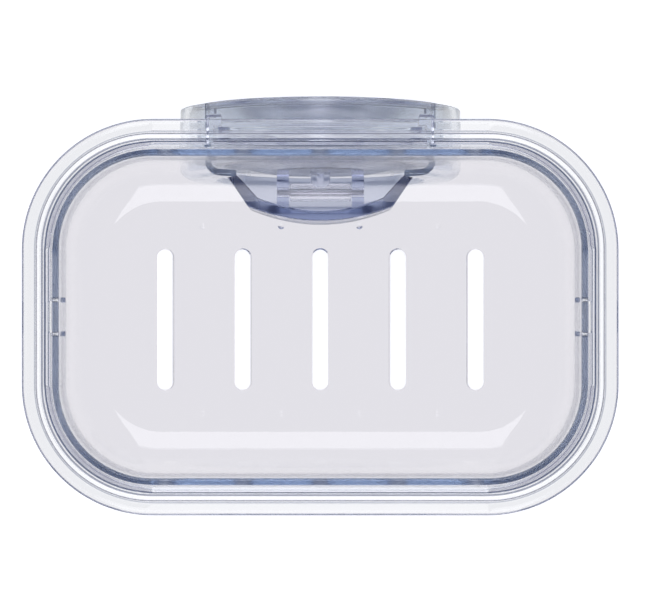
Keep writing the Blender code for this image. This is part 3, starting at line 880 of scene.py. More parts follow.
@dataclass(frozen=True)
class DrawnSteel:
    """Drawn steel wire, whose fine scores run along the pin, from the die.

    Attributes:
        name: the material's name.
        colour: the colour of the bare steel.
        score: how far apart the scores are, in millimetres.
        relief: how deep they are, in millimetres.
        stretch: their width over their length.
        polish: the roughness of the smoothest and the dullest spots.
    """

    name: str = "drawn_steel_wire"
    colour: str = "#C4C5C9"
    score: float = 0.35
    relief: float = 0.01
    stretch: float = 0.05
    polish: Pair = (0.18, 0.38)

    @cache
    def material(self) -> bpy.types.Material:
        """The node material of this finish.

        Returns:
            The material, which is made once.
        """
        made = bpy.data.materials.new(self.name)
        tree = emptied(made)
        place = add_node(tree, "ShaderNodeTexCoord").outputs["Object"]
        along = add_node(
            tree, "ShaderNodeMapping", {"Vector": place, "Scale": (self.stretch, 1.0, 1.0)}
        )
        # Draw lines: long and narrow along the wire, a third of a millimetre apart
        scores = add_node(
            tree,
            "ShaderNodeTexNoise",
            {"Vector": along, "Scale": 1 / (self.score * MM), "Detail": 2.0},
        )
        smooth, dull = self.polish
        roughness = add_node(
            tree, "ShaderNodeMapRange", {"Value": scores, "To Min": smooth, "To Max": dull}
        )
        bump = add_node(tree, "ShaderNodeBump", {"Height": scores, "Distance": self.relief * MM})
        shader = add_node(
            tree,
            "ShaderNodeBsdfPrincipled",
            {
                "Base Color": linear(self.colour),
                "Metallic": 1.0,
                "Roughness": roughness,
                "Normal": bump,
            },
        )
        add_node(tree, "ShaderNodeOutputMaterial", {"Surface": shader})
        return made


# Clear acrylic, injection moulded in a polished tool: bright, faintly blue where it is long. The
# draft of its wall is duller at mid height. Painted shade tints its floor and wall grey-lilac and
# draws thin dark lines at the feet of its bead, and a painted highlight glows on the bead's crown
TRAY_FINISH = ClearPlastic(
    "clear_acrylic_tray",
    Resin.ACRYLIC,
    "#F2F5F9",
    10.0,
    bands=(
        # Painted shade: the floor and wall's grey-lilac tint, fading to white between 42 and 46 mm
        (26.0, "#EBE9EE", 0.0),
        (33.0, "#EBE9EE", 0.2),
        (42.0, "#EBE9EE", 0.2),
        (46.0, "#FFFFFF", 0.0),
        (48.22, "#FFFFFF", 0.0),
        # Painted shade: a thin dark line round the foot of the bead
        (48.28, "#6B7086", 0.0),
        (48.78, "#6B7086", 0.0),
        (48.86, "#FFFFFF", 0.0),
        (49.0, "#FFFFFF", 0.0),
    ),
    # Painted highlight: the bead's crown glows white
    glint=(48.80, 48.90, 0.14),
)
# The same acrylic, with painted shade: thin dark lines in the corner under its ledge and on the
# flange's top edge, and a pale grey tint on the flange
FRAME_FINISH = ClearPlastic(
    "clear_acrylic_frame",
    Resin.ACRYLIC,
    "#F6F7FA",
    8.0,
    bands=(
        (43.3, "#FFFFFF", 0.0),
        # Painted shade: a thin dark line in the corner under the ledge
        (43.4, "#3C4664", 0.0),
        (44.24, "#3C4664", 0.0),
        (44.29, "#FFFFFF", 0.0),
        (46.2, "#FFFFFF", 0.0),
        # Painted shade: the flange's pale grey tint, with a thin dark line at its top edge
        (46.4, "#EDEEF3", 0.0),
        (47.68, "#EDEEF3", 0.0),
        (47.74, "#8C93A6", 0.0),
        (47.93, "#8C93A6", 0.0),
        (48.0, "#EDEEF3", 0.0),
    ),
)
# Clear polycarbonate, injection moulded and polished: nearly colourless, with soft highlights
BRACKET_FINISH = ClearPlastic(
    "clear_polycarbonate_bracket",
    Resin.POLYCARBONATE,
    "#FBFCFD",
    8.0,
    skin="#F8FAFD",
    polish=(0.04, 0.08),
)
# The same polycarbonate, a shade bluer where it is thick, and duller below its cams, where its
# skin is tinted grey-blue as painted shade
LEVER_FINISH = ClearPlastic(
    "clear_polycarbonate_lever",
    Resin.POLYCARBONATE,
    "#DCE2F0",
    8.0,
    # Painted shade: below the cams the skin is tinted grey-blue, and rougher
    bands=((-12.0, "#E0E5F0", 0.27), (-10.0, "#FBFBFD", 0.0)),
)
# The same polycarbonate, as polished as the tray: its edges catch the light through the housing
STEM_FINISH = ClearPlastic("clear_polycarbonate_stem", Resin.POLYCARBONATE, "#F6F7FA", 8.0)
# Clear polycarbonate from a spark-textured tool: its haze softens all that lies behind it
HOUSING_FINISH = ClearPlastic(
    "satin_polycarbonate_housing",
    Resin.POLYCARBONATE,
    "#F9FAFC",
    8.0,
    skin="#F5F8FD",
    polish=(0.17, 0.27),
)
# Plasticised vinyl, injection moulded: soft, slightly milky, with a satin skin
CUP_FINISH = ClearPlastic(
    "soft_clear_vinyl_cup",
    Resin.SOFT_VINYL,
    "#F6F7FA",
    12.0,
    polish=(0.05, 0.12),
    ripple=9.0,
    relief=0.004,
    transmission=0.98,
)
# Bright steel wire, drawn through a die and cropped: grey, with fine scores along it
PIN_FINISH = DrawnSteel()


def dress(
    piece: bpy.types.Object,
    finish: ClearPlastic | DrawnSteel,
    node: str,
    body: str | None,
) -> None:
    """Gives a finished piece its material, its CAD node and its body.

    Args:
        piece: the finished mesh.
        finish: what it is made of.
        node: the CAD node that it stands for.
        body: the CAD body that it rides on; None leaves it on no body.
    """
    polish(piece.data)
    piece.data.materials.clear()
    piece.data.materials.append(finish.material())
    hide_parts(node)
    if body:
        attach(piece, body)
    LOG.info("%s: %d faces, for %s", piece.name, len(piece.data.polygons), node)


# The dish. The third number of a corner is its radius, here and in the wall unit


@dataclass(frozen=True)
class Rim:
    """The dish's rim from above, which the frame and the tray share.

    Attributes:
        length: along x.
        width: away from the wall.
        corner: the radius of its corners.
        wall_offset: the depth of its back edge.
        height: the height of its top over the cup's centre.
        corner_steps: how many chords a corner has.
    """

    length: float = 146.0
    width: float = 97.0
    corner: float = 32.0
    wall_offset: float = 6.9
    height: float = 48.0
    corner_steps: int = 32

    @property
    def centre(self) -> Point:
        """The centre of the rim's top."""
        return (0.0, -(self.wall_offset + self.width / 2), self.height)

    def outline(self, inset: float) -> Outline:
        """The rounded rectangle of the rim.

        Args:
            inset: how far it is drawn in.

        Returns:
            Its points, about the rim's centre.
        """
        x = self.length / 2 - self.corner
        y = self.width / 2 - self.corner
        points: Outline = []
        for quarter, centre in enumerate(((x, y), (-x, y), (-x, -y), (x, -y))):
            turn = quarter * QUARTER_TURN
            points += arc(centre, self.corner - inset, turn, turn + QUARTER_TURN, self.corner_steps)
        return points


RIM = Rim()


@dataclass
class DishFrame:
    """The ring that carries the tray, with two rails that hang on the bracket's plate.

    Attributes:
        flange: width of the flange outside the tray's lip.
        thickness: thickness of the flange.
        ledge_drop: how far the ledge lies under the rim.
        ledge_thickness: thickness of the ledge.
        skirt_inset: inset of the skirt's outer face.
        skirt_thickness: thickness of the skirt.
        skirt_height: height of the skirt's bottom under the rim.
        edge: radius of the flange's top edge.
        under_edge: radius of its bottom edge.
        rail_height: how far the rails reach down from the rim.
        rail_wall: thickness of a rail beside the plate.
        rail_taper: how far a rail's bottom edge is drawn in, and over what height.
        hook_reach: how far its hook reaches behind the plate.
        hook_thickness: thickness of its hook.
        plate_half: half width of the bracket's plate.
        plate_back_depth: depth of the plate's back.
        channel_half: half width of the channel for a tongue's barb.
        channel_depth: how deep the channel is cut into the skirt.
    """

    flange: float = 3.2
    thickness: float = 2.2
    ledge_drop: float = 1.7
    ledge_thickness: float = 2.0
    skirt_inset: float = 5.6
    skirt_thickness: float = 1.5
    skirt_height: float = 11.0
    edge: float = 0.35
    under_edge: float = 1.1
    rail_height: float = 10.4
    rail_wall: float = 1.6
    rail_taper: Pair = (0.25, 0.3)
    hook_reach: float = 1.7
    hook_thickness: float = 2.8
    plate_half: float = 26.0
    plate_back_depth: float = 8.6
    channel_half: float = 3.9
    channel_depth: float = 0.8

    @property
    def skirt_inner(self) -> float:
        """Inset of the skirt's inner face."""
        return self.skirt_inset + self.skirt_thickness

    def section(self) -> bpy.types.Object:
        """The ring's section.

        Returns:
            A closed curve, with the inset along -x and the height along -y.
        """
        under = -self.ledge_drop - self.ledge_thickness
        points = rounded([
            (0.0, 0.0, self.edge),
            (self.flange, 0.0, 0.3),
            (self.flange, -self.ledge_drop, 0.25),
            (self.skirt_inner, -self.ledge_drop, 0.4),
            (self.skirt_inner, -self.skirt_height, 0.3),
            (self.skirt_inset, -self.skirt_height, 0.3),
            (self.skirt_inset, under, 0.7),
            (self.flange + self.under_edge / 2, under, 0.3),
            (self.flange - self.under_edge / 2, -self.thickness, 0.4),
            (0.0, -self.thickness, self.under_edge),
        ])
        curve = bpy.data.curves.new("frame_section", "CURVE")
        spline = curve.splines.new("POLY")
        spline.points.add(len(points) - 1)
        for point, (inset, height) in zip(spline.points, points):
            point.co = (-inset * MM, -height * MM, 0.0, 1.0)
        spline.use_cyclic_u = True
        return linked("frame_section", curve)

    def ring(self) -> bpy.types.Object:
        """The ring, carried round the rim by its tree.

        Returns:
            The closed ring.
        """
        values = {
            "Length": RIM.length * MM,
            "Width": RIM.width * MM,
            "Corner Radius": RIM.corner * MM,
            "Corner Steps": RIM.corner_steps,
            "Section": self.section(),
            "Place": tuple(c * MM for c in RIM.centre),
            "Material": FRAME_FINISH.material(),
        }
        ring = grown("dish_frame_ring", rim_sweep_tree(), values)
        with editing(ring.data) as work:
            bmesh.ops.remove_doubles(work, verts=work.verts, dist=MERGE_DISTANCE * MM)
            bmesh.ops.recalc_face_normals(work, faces=work.faces)
        return ring

    def rail(self, side: Side) -> bpy.types.Object:
        """One of the two rails that hook round the bracket's plate.

        Args:
            side: the rail's side.

        Returns:
            The rail.
        """
        back = RIM.width / 2 + RIM.wall_offset - self.plate_back_depth + SEAT_GAP
        hook = back + self.hook_thickness
        root = RIM.width / 2 - self.skirt_inset - self.skirt_thickness / 2
        face = self.plate_half + SEAT_GAP
        corners = rounded([
            (face + self.rail_wall, root, 0.0),
            (face + self.rail_wall, hook, 0.5),
            (self.plate_half - self.hook_reach, hook, 0.5),
            (self.plate_half - self.hook_reach, back, 0.4),
            (face, back, 0.3),
            (face, root, 0.0),
        ])
        outline = [(side.value * a, b) for a, b in corners]
        drawn_in, rise = self.rail_taper
        top = JOIN - self.thickness
        levels = [(-self.rail_height, -drawn_in), (rise - self.rail_height, 0.0), (top, 0.0)]
        return lofted(f"rail_{side.label}", outline, levels, Axis.Z, RIM.centre)

    def channel(self, side: Side) -> bpy.types.Object:
        """The cutter of the channel that a tongue's barb slides in.

        Args:
            side: the channel's side.

        Returns:
            The cutter.
        """
        face = RIM.length / 2 - self.skirt_inner
        across = side.span(face - JOIN, face + self.channel_depth)
        outline = box(*across, -self.channel_half, self.channel_half)
        ends = (-self.skirt_height - OVERSHOOT, OVERSHOOT)
        return slab(f"channel_{side.label}", outline, Axis.Z, ends, centre=RIM.centre)

    def build(self) -> None:
        """Builds and dresses the frame."""
        ring = self.ring()
        for side in Side:
            combine(ring, Boolean.ADD, self.rail(side))
            combine(ring, Boolean.CUT, self.channel(side))
        dress(settle(ring), FRAME_FINISH, "dish_frame", "frame")


@dataclass
class SoapTray:
    """The lift-out tray: beaded lip, wall, wide fillet, slotted floor and two snap tongues.

    Attributes:
        wall: thickness of its wall and floor.
        depth: depth of its floor under the rim.
        fillet: inner radius between wall and floor.
        lip_thickness: thickness of its lip.
        lip_inset: inset of the lip's outer edge.
        lip_under: height of the lip's underside over the rim.
        bead: radius of the bead on the lip.
        outer: inset of its wall's outer face.
        slot_count: how many drain slots it has.
        slot_pitch: how far apart they are.
        slot_length: their length.
        slot_width: their width.
        slot_edge: how far their rims are bevelled.
        forward: how far the slots and nubs stand in front of the rim's centre.
        nub_radius: radius of a nub.
        nub_height: its height.
        nub_row: how far the two rows of nubs stand from the slots' middle.
        tongue_half: half width of a snap tongue.
        slit: width of the slits beside it.
        slit_drop: how far they start under the lip.
        slit_height: their height.
        slit_end: radius of their corners.
        barb_drop: how far a tongue's barb lies under the rim.
        barb_height: the barb's height.
        barb_reach: how far it stands out.
    """

    wall: float = 1.7
    depth: float = 25.6
    fillet: float = 11.0
    lip_thickness: float = 1.6
    lip_inset: float = 3.5
    lip_under: float = -1.4
    bead: float = 0.8
    outer: float = 7.4
    slot_count: int = 5
    slot_pitch: float = 20.0
    slot_length: float = 36.0
    slot_width: float = 4.0
    slot_edge: float = 0.35
    forward: float = 0.8
    nub_radius: float = 0.9
    nub_height: float = 0.4
    nub_row: float = 24.1
    tongue_half: float = 3.6
    slit: float = 1.2
    slit_drop: float = 2.0
    slit_height: float = 10.0
    slit_end: float = 0.5
    barb_drop: float = 7.0
    barb_height: float = 2.2
    barb_reach: float = 0.5

    @property
    def inner(self) -> float:
        """Inset of the wall's inner face."""
        return self.outer + self.wall

    @property
    def face(self) -> float:
        """How far the wall's outer face stands from the middle, along x."""
        return RIM.length / 2 - self.outer

    def shell(self) -> bpy.types.Object:
        """The tray without its slots, nubs and tongues.

        Returns:
            The shell, its floor split on a grid between the slots.
        """
        bend = self.fillet - self.depth
        lip_top = self.lip_under + self.lip_thickness
        bead_inset = self.lip_inset + 2 * self.bead
        centre = (self.inner + self.fillet, bend)
        lip = rounded(
            [
                (self.inner, bend, 0.0),
                (self.inner, lip_top, 0.7),
                (bead_inset, lip_top, 0.25),
                (bead_inset, lip_top + self.bead, 0.75),
                (self.lip_inset, lip_top + self.bead, 0.75),
                (self.lip_inset, self.lip_under, 0.2),
                (self.outer, self.lip_under, 0.3),
                (self.outer, bend, 0.0),
            ],
            closed=False,
        )
        section = [
            *arc(centre, self.fillet, -QUARTER_TURN, -math.pi, FILLET_STEPS),
            *lip[1:-1],
            *arc(centre, self.fillet + self.wall, -math.pi, -QUARTER_TURN, FILLET_STEPS),
        ]
        rings = [
            [Vector((x, y, height)) + Vector(RIM.centre) for x, y in RIM.outline(inset)]
            for inset, height in section
        ]
        shell = stacked("soap_tray_shell", rings)
        half = self.slot_pitch / 2
        across = [half * (i + 1 / 2) for i in range(-self.slot_count, self.slot_count)]
        middle = RIM.centre[1] - self.forward
        between = (self.slot_length / 2 + self.nub_row) / 2
        gridded(shell, across, [middle - between, middle + between])
        return shell

    def floor_row(
        self, name: str, shape: bpy.types.Object, count: int, away: float
    ) -> bpy.types.Object:
        """A row of one shape along the floor, at the slots' pitch.

        Args:
            name: the row's name.
            shape: the shape to repeat.
            count: how many there are.
            away: how far the row stands towards the wall from the slots' middle.

        Returns:
            The row.
        """
        x, y, z = RIM.centre
        first = (x - self.slot_pitch * (count - 1) / 2, y - self.forward + away, z)
        step = (self.slot_pitch, 0.0, 0.0)
        return repeated(name, shape, TRAY_FINISH.material(), count, first, step)

    def slots(self) -> bpy.types.Object:
        """The row of slot cutters, each flared so that the slot's rims are bevelled.

        Returns:
            The cutters.
        """
        radius = self.slot_width / 2
        reach = self.slot_length / 2 - radius
        outline = arc((0.0, reach), radius, 0.0, math.pi, SLOT_END_STEPS)
        outline += arc((0.0, -reach), radius, math.pi, FULL_TURN, SLOT_END_STEPS)
        low, high, edge = -self.depth - self.wall, -self.depth, self.slot_edge
        levels = [(low - JOIN, edge), *flared_rim(low, edge, -1)]
        levels += [*flared_rim(high, edge, 1), (high + JOIN, edge)]
        cutter = lofted("slot_cutter", outline, levels, Axis.Z)
        return self.floor_row("slot_cutters", cutter, self.slot_count, 0.0)

    def nubs(self, row: Row) -> bpy.types.Object:
        """A row of the low round nubs that keep the soap off the floor.

        Args:
            row: which of the two rows it is.

        Returns:
            The nubs.
        """
        levels = [(-self.depth - JOIN, 0.0)] + [
            (-self.depth + self.nub_height * math.sin(t), self.nub_radius * (math.cos(t) - 1))
            for t in EDGE_TURN[:-1]
        ]
        shape = lofted("nub_shape", circle(self.nub_radius, NUB_STEPS), levels, Axis.Z)
        away = row.value * self.nub_row
        return self.floor_row(f"floor_nubs_{row.label}", shape, self.slot_count - 1, away)

    def slit_cutter(self, side: Side, row: Row) -> bpy.types.Object:
        """The cutter of one slit beside a tongue.

        Args:
            side: the tongue's side.
            row: on which side of the tongue the slit is.

        Returns:
            The cutter.
        """
        top = self.lip_under - self.slit_drop
        across = row.span(self.tongue_half, self.tongue_half + self.slit)
        outline = box(*across, top - self.slit_height, top, self.slit_end)
        ends = side.span(self.face - self.wall - self.fillet, self.face + OVERSHOOT)
        name = f"slit_{side.label}_{row.label}"
        return slab(name, outline, Axis.X, ends, centre=RIM.centre)

    def barb(self, side: Side) -> bpy.types.Object:
        """The barb on a tongue's outer face.

        Args:
            side: the tongue's side.

        Returns:
            The barb.
        """
        root = side.value * (self.face - self.wall / 2)
        tip = side.value * (self.face + self.barb_reach)
        foot = -self.barb_drop - self.barb_height
        outline = rounded([
            (root, -self.barb_drop, 0.0),
            (tip, -self.barb_drop, 0.15),
            (side.value * self.face, foot, 0.0),
            (root, foot, 0.0),
        ])
        half = self.tongue_half - SEAT_GAP
        return slab(f"barb_{side.label}", outline, Axis.Y, (-half, half), centre=RIM.centre)

    def build(self) -> None:
        """Builds and dresses the tray."""
        tray = self.shell()
        combine(tray, Boolean.CUT, self.slots())
        for row in Row:
            combine(tray, Boolean.ADD, self.nubs(row))
            for side in Side:
                combine(tray, Boolean.CUT, self.slit_cutter(side, row))
        for side in Side:
            combine(tray, Boolean.ADD, self.barb(side))
        dress(settle(tray), TRAY_FINISH, "soap_tray", "tray")


# The wall unit


@dataclass
class SuctionUnit:
    """The soft cup, its rigid housing, and the stem and pin that pull on it.

    Attributes:
        radius: outer radius of the housing.
        back_depth: depth of the housing's rim over the wall.
        shoulder_depth: depth of its shoulder.
        shoulder: radius of its shoulder's fillet.
        boss: foot radius, flat radius and depth of its raised boss.
        wall: thickness of its plate.
        rim_wall: thickness of its rim.
        guide: bore, outer radius and back depth of its stem guide.
        key_radius: outer radius of the key at its top.
        key_depths: the key's back and front.
        key_half_angle: half the angle that the key spans.
        notch_angles: the angles that the notch at each end of the key lies between.
        notch: inner and outer radius, and back and front depth, of the notches.
        cup_radius: radius of the cup's lip.
        lip_width: width of the lip.
        lip_thickness: its thickness.
        hollow: depth of the hollow under the cup.
        floor: thickness of the cup's cone.
        pocket: radius, back depth and front depth of its pocket for the anchor.
        cup_boss: radius and front depth of the boss round the pocket.
        boss_foot: how far the cone's top stands out from the boss.
        cup_bend: the depth that the soft cup bends up to as the stem moves; not used.
        anchor: radius, back depth and front depth of the anchor disc.
        stem_radius: radius of the stem's shank.
        barrel: radius and half length of its cross barrel.
        barrel_edge: radius of the barrel's rims.
        pin: radius, half length and depth of the pin.
        pin_gap: the play of the pin in the barrel.
        pin_edge: radius of the pin's tumbled ends.
    """

    radius: float = 35.1
    back_depth: float = 2.1
    shoulder_depth: float = 13.2
    shoulder: float = 7.0
    boss: Point = (20.5, 14.5, 15.3)
    wall: float = 2.2
    rim_wall: float = 2.6
    guide: Point = (2.9, 5.7, 9.2)
    key_radius: float = 37.4
    key_depths: Pair = (0.8, 8.3)
    key_half_angle: float = math.radians(51.7)
    notch_angles: Pair = (math.radians(46.64), math.radians(52.62))
    notch: tuple[float, float, float, float] = (35.5, 37.2, 2.3, 4.9)
    cup_radius: float = 34.5
    lip_width: float = 3.4
    lip_thickness: float = 1.8
    hollow: float = 4.4
    floor: float = 0.8
    pocket: Point = (12.3, 5.2, 7.4)
    cup_boss: Pair = (14.5, 8.6)
    boss_foot: float = 1.2
    cup_bend: float = 5.4
    anchor: Point = (12.0, 5.5, 7.1)
    stem_radius: float = 2.6
    barrel: Pair = (2.8, 8.1)
    barrel_edge: float = 0.4
    pin: Point = (1.2, 11.6, 21.9)
    pin_gap: float = 0.3
    pin_edge: float = 0.25

    def housing(self) -> None:
        """Builds the bell over the cup, with its stem guide and its top key."""
        foot, flat, top = self.boss
        bore, guide, guide_back = self.guide
        plate = self.shoulder_depth - self.wall
        rim_inner = self.radius - self.rim_wall
        profile = rounded([
            (bore, top, 0.4),
            (flat, top, 1.6),
            (foot, self.shoulder_depth, 2.5),
            (self.radius, self.shoulder_depth, self.shoulder),
            (self.radius, self.back_depth, 0.3),
            (rim_inner, self.back_depth, 0.3),
            (rim_inner, plate, self.shoulder - self.rim_wall),
            (foot - self.wall / 2, plate, 1.2),
            (flat - self.wall / 2, top - self.wall, 0.8),
            (guide, top - self.wall, 0.6),
            (guide, guide_back, 0.4),
            (bore, guide_back, 0.3),
        ])
        housing = turned("suction_housing_bell", profile)
        lip_clear = self.cup_radius + SEAT_GAP
        in_wall = self.radius - self.rim_wall / 2
        above_lip = self.back_depth + JOIN
        low, high = self.key_depths
        key = rounded([
            (lip_clear, low, 0.2),
            (self.key_radius, low, 0.3),
            (self.key_radius, high, 0.5),
            (in_wall, high, 0.0),
            (in_wall, above_lip, 0.0),
            (lip_clear, above_lip, 0.0),
        ])
        ends = (-self.key_half_angle, self.key_half_angle)
        combine(housing, Boolean.ADD, turned("housing_key", key, ends, SECTOR_STEPS))
        for side in Side:
            ends = side.span(*self.notch_angles)
            notch = turned(f"notch_{side.label}", box(*self.notch), ends, NOTCH_STEPS)
            combine(housing, Boolean.CUT, notch)
        dress(settle(housing), HOUSING_FINISH, "suction_housing", "root")

    def cup(self) -> None:
        """Builds the soft cup: a thin cone on a flat lip, with the boss that holds the anchor."""
        lip = self.cup_radius - self.lip_width
        pocket, pocket_back, pocket_front = self.pocket
        boss, boss_front = self.cup_boss
        neck = self.stem_radius + SEAT_GAP
        under = [
            (
                lip * i / HOLLOW_STEPS,
                self.hollow * (1 + math.cos(math.pi * i / HOLLOW_STEPS)) / 2,
            )
            for i in range(HOLLOW_STEPS)
        ]
        over = rounded(
            [
                (lip, 0.0, 0.0),
                (self.cup_radius, 0.0, 0.45),
                (self.cup_radius, self.lip_thickness, 0.7),
                (lip - self.lip_thickness, self.lip_thickness, 4.0),
                (boss + self.boss_foot, self.floor + self.hollow, 0.6),
                (boss, boss_front, 0.7),
                (neck, boss_front, 0.3),
                (neck, pocket_front, 0.2),
                (pocket, pocket_front, 0.2),
                (pocket, pocket_back, 0.2),
                (0.0, pocket_back, 0.0),
            ],
            closed=False,
        )
        cup = turned("suction_cup_membrane", under + over)
        dress(cup, CUP_FINISH, "suction_cup", None)
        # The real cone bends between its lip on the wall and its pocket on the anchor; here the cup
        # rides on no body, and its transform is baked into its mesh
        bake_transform(cup)

    def stem(self) -> None:
        """Builds the anchor disc, its shank and the cross barrel for the pin."""
        disc, back, front = self.anchor
        barrel, span = self.barrel
        pin, _, depth = self.pin
        profile = rounded(
            [
                (0.0, back, 0.0),
                (disc, back, 0.35),
                (disc, front, 0.35),
                (self.stem_radius, front, 0.5),
                (self.stem_radius, depth, 0.0),
                (0.0, depth, 0.0),
            ],
            closed=False,
        )
        stem = turned("stem_anchor_disc", profile)
        centre = (0.0, -depth, 0.0)
        rod = circle(barrel, BARREL_STEPS)
        solid = slab("barrel", rod, Axis.X, (-span, span), self.barrel_edge, centre)
        combine(stem, Boolean.ADD, solid)
        reach = span + OVERSHOOT
        hole = circle(pin + self.pin_gap)
        bore = slab("barrel_bore", hole, Axis.X, (-reach, reach), centre=centre)
        combine(stem, Boolean.CUT, bore)
        dress(settle(stem), STEM_FINISH, "stem_anchor", "stem")

    def pin_rod(self) -> None:
        """Builds the steel cross pin, with its cropped and tumbled ends."""
        radius, span, depth = self.pin
        centre = (0.0, -depth, 0.0)
        outline = circle(radius)
        pin = slab("lever_pin_rod", outline, Axis.X, (-span, span), self.pin_edge, centre)
        dress(pin, PIN_FINISH, "lever_pin", "stem")

    def build(self) -> None:
        """Builds and dresses the unit's four pieces."""
        self.housing()
        self.cup()
        self.stem()
        self.pin_rod()


@dataclass
class WallBracket:
    """The collar round the housing, open at the top for its key, with the hanger plate above.

    Attributes:
        radius: outer radius of the collar.
        wall: its thickness.
        depths: its back and front.
        fillet: outer radius of its front edge.
        web: thickness of its front web.
        opening: radius of the web's opening.
        half_opening: half the angle of the opening for the housing's key.
        plate_half: half width of the plate.
        plate_depths: its back and front.
        plate_top: height of its top.
        plate_edge: radius of its rims.
        shoulder_half: half width of its shoulders.
        edge_end: height of the bottom of its straight edges.
        shoulder_drop: how far the shoulders lie under that.
        lead_in: depth and height of the slope at its top front edge.
        foot_angle: the angle off +Z at which its foot meets the collar.
        foot_bite: how far that foot reaches out from the collar's inner face.
        bore_bite: how far the plate is cut back from the same face.
        rib_count: how many ribs seat the collar.
        rib_thickness: their thickness.
        rib_end: the angle that a rib's arc ends at.
        seat: radius, depth and reach of a rib's arc.
        tooth: inner and outer radius, and back and front depth, of the teeth that hold the collar.
        tooth_angles: the angles that a tooth lies between.
    """

    radius: float = 37.4
    wall: float = 2.0
    depths: Pair = (0.6, 18.4)
    fillet: float = 4.4
    web: float = 2.2
    opening: float = 27.6
    half_opening: float = math.radians(52.16)
    plate_half: float = 26.0
    plate_depths: Pair = (8.6, 12.2)
    plate_top: float = 44.0
    plate_edge: float = 0.35
    shoulder_half: float = 31.0
    edge_end: float = 37.3
    shoulder_drop: float = 5.0
    lead_in: Pair = (1.6, 4.6)
    foot_angle: float = math.radians(70.0)
    foot_bite: float = 1.3
    bore_bite: float = 0.7
    rib_count: int = 5
    rib_thickness: float = 1.6
    rib_end: float = math.radians(20.0)
    seat: Point = (28.1, 6.2, 7.3)
    tooth: tuple[float, float, float, float] = (35.8, 36.9, 2.6, 4.6)
    tooth_angles: Pair = (math.radians(47.1), math.radians(53.36))

    @property
    def inner(self) -> float:
        """Inner radius of the collar."""
        return self.radius - self.wall

    def plate(self) -> bpy.types.Object:
        """The hanger plate, with the lead-in that guides the frame down onto it.

        Returns:
            The plate.
        """
        inside = self.inner + self.foot_bite
        right = [
            (inside * math.sin(self.foot_angle), inside * math.cos(self.foot_angle), 0.0),
            (self.shoulder_half, self.edge_end - self.shoulder_drop, 1.5),
            (self.plate_half, self.edge_end, 1.0),
            (self.plate_half, self.plate_top, 1.2),
        ]
        outline = rounded(right + [(-x, z, r) for x, z, r in reversed(right)])
        back, front = self.plate_depths
        plate = slab("hanger", outline, Axis.Y, (-front, -back), self.plate_edge)
        reach, height = self.lead_in
        top = self.plate_top
        slope = [
            (-front, top - height),
            (reach - front, top),
            (reach - front, top + OVERSHOOT),
            (-front - OVERSHOOT, top + OVERSHOOT),
            (-front - OVERSHOOT, top - height),
        ]
        wide = 2 * self.plate_half
        combine(plate, Boolean.CUT, slab("lead_in", slope, Axis.X, (-wide, wide)))
        bore = box(0.0, self.inner + self.bore_bite, 0.0, self.depths[1])
        combine(plate, Boolean.CUT, turned("hanger_bore", bore))
        return settle(plate)

    def ribs(self) -> bpy.types.Object:
        """The fan of ribs in the lower half that seat the collar on the housing.

        Returns:
            The ribs.
        """
        corner = self.radius - self.fillet
        inner_fillet = self.fillet - self.wall
        middle = (corner, self.depths[1] - self.web - inner_fillet)
        bite = (self.fillet + inner_fillet) / 2
        radius, depth, reach = self.seat
        rib = arc((radius, depth), reach, QUARTER_TURN, self.rib_end, RIB_SEAT_STEPS)
        rib.append((corner + bite, rib[-1][1]))
        rib += arc(middle, bite, 0.0, QUARTER_TURN, RIB_BACK_STEPS)
        rib.append((radius, middle[1] + bite))
        half = self.rib_thickness / 2 / (self.inner - SEAT_GAP)
        return repeated(
            "seat_ribs",
            turned("rib_shape", rib, (-half, half), RIB_TURN_STEPS),
            BRACKET_FINISH.material(),
            self.rib_count,
            first_turn=(0.0, QUARTER_TURN, 0.0),
            step_turn=(0.0, math.pi / (self.rib_count - 1), 0.0),
        )

    def build(self) -> None:
        """Builds and dresses the bracket."""
        back, front = self.depths
        profile = rounded([
            (self.inner, back, 0.3),
            (self.radius, back, 0.4),
            (self.radius, front, self.fillet),
            (self.opening, front, 0.6),
            (self.opening, front - self.web, 0.6),
            (self.inner, front - self.web, self.fillet - self.wall),
        ])
        bracket = turned("wall_bracket_collar", profile)
        combine(bracket, Boolean.ADD, self.plate())
        sector = box(0.0, self.radius + SEAT_GAP, -OVERSHOOT, front + OVERSHOOT)
        ends = (-self.half_opening, self.half_opening)
        combine(bracket, Boolean.CUT, turned("key_opening", sector, ends, SECTOR_STEPS))
        combine(bracket, Boolean.ADD, self.ribs())
        for side in Side:
            ends = side.span(*self.tooth_angles)
            tooth = turned(f"tooth_{side.label}", box(*self.tooth), ends, NOTCH_STEPS)
            combine(bracket, Boolean.ADD, tooth)
        dress(settle(bracket), BRACKET_FINISH, "wall_bracket", "root")


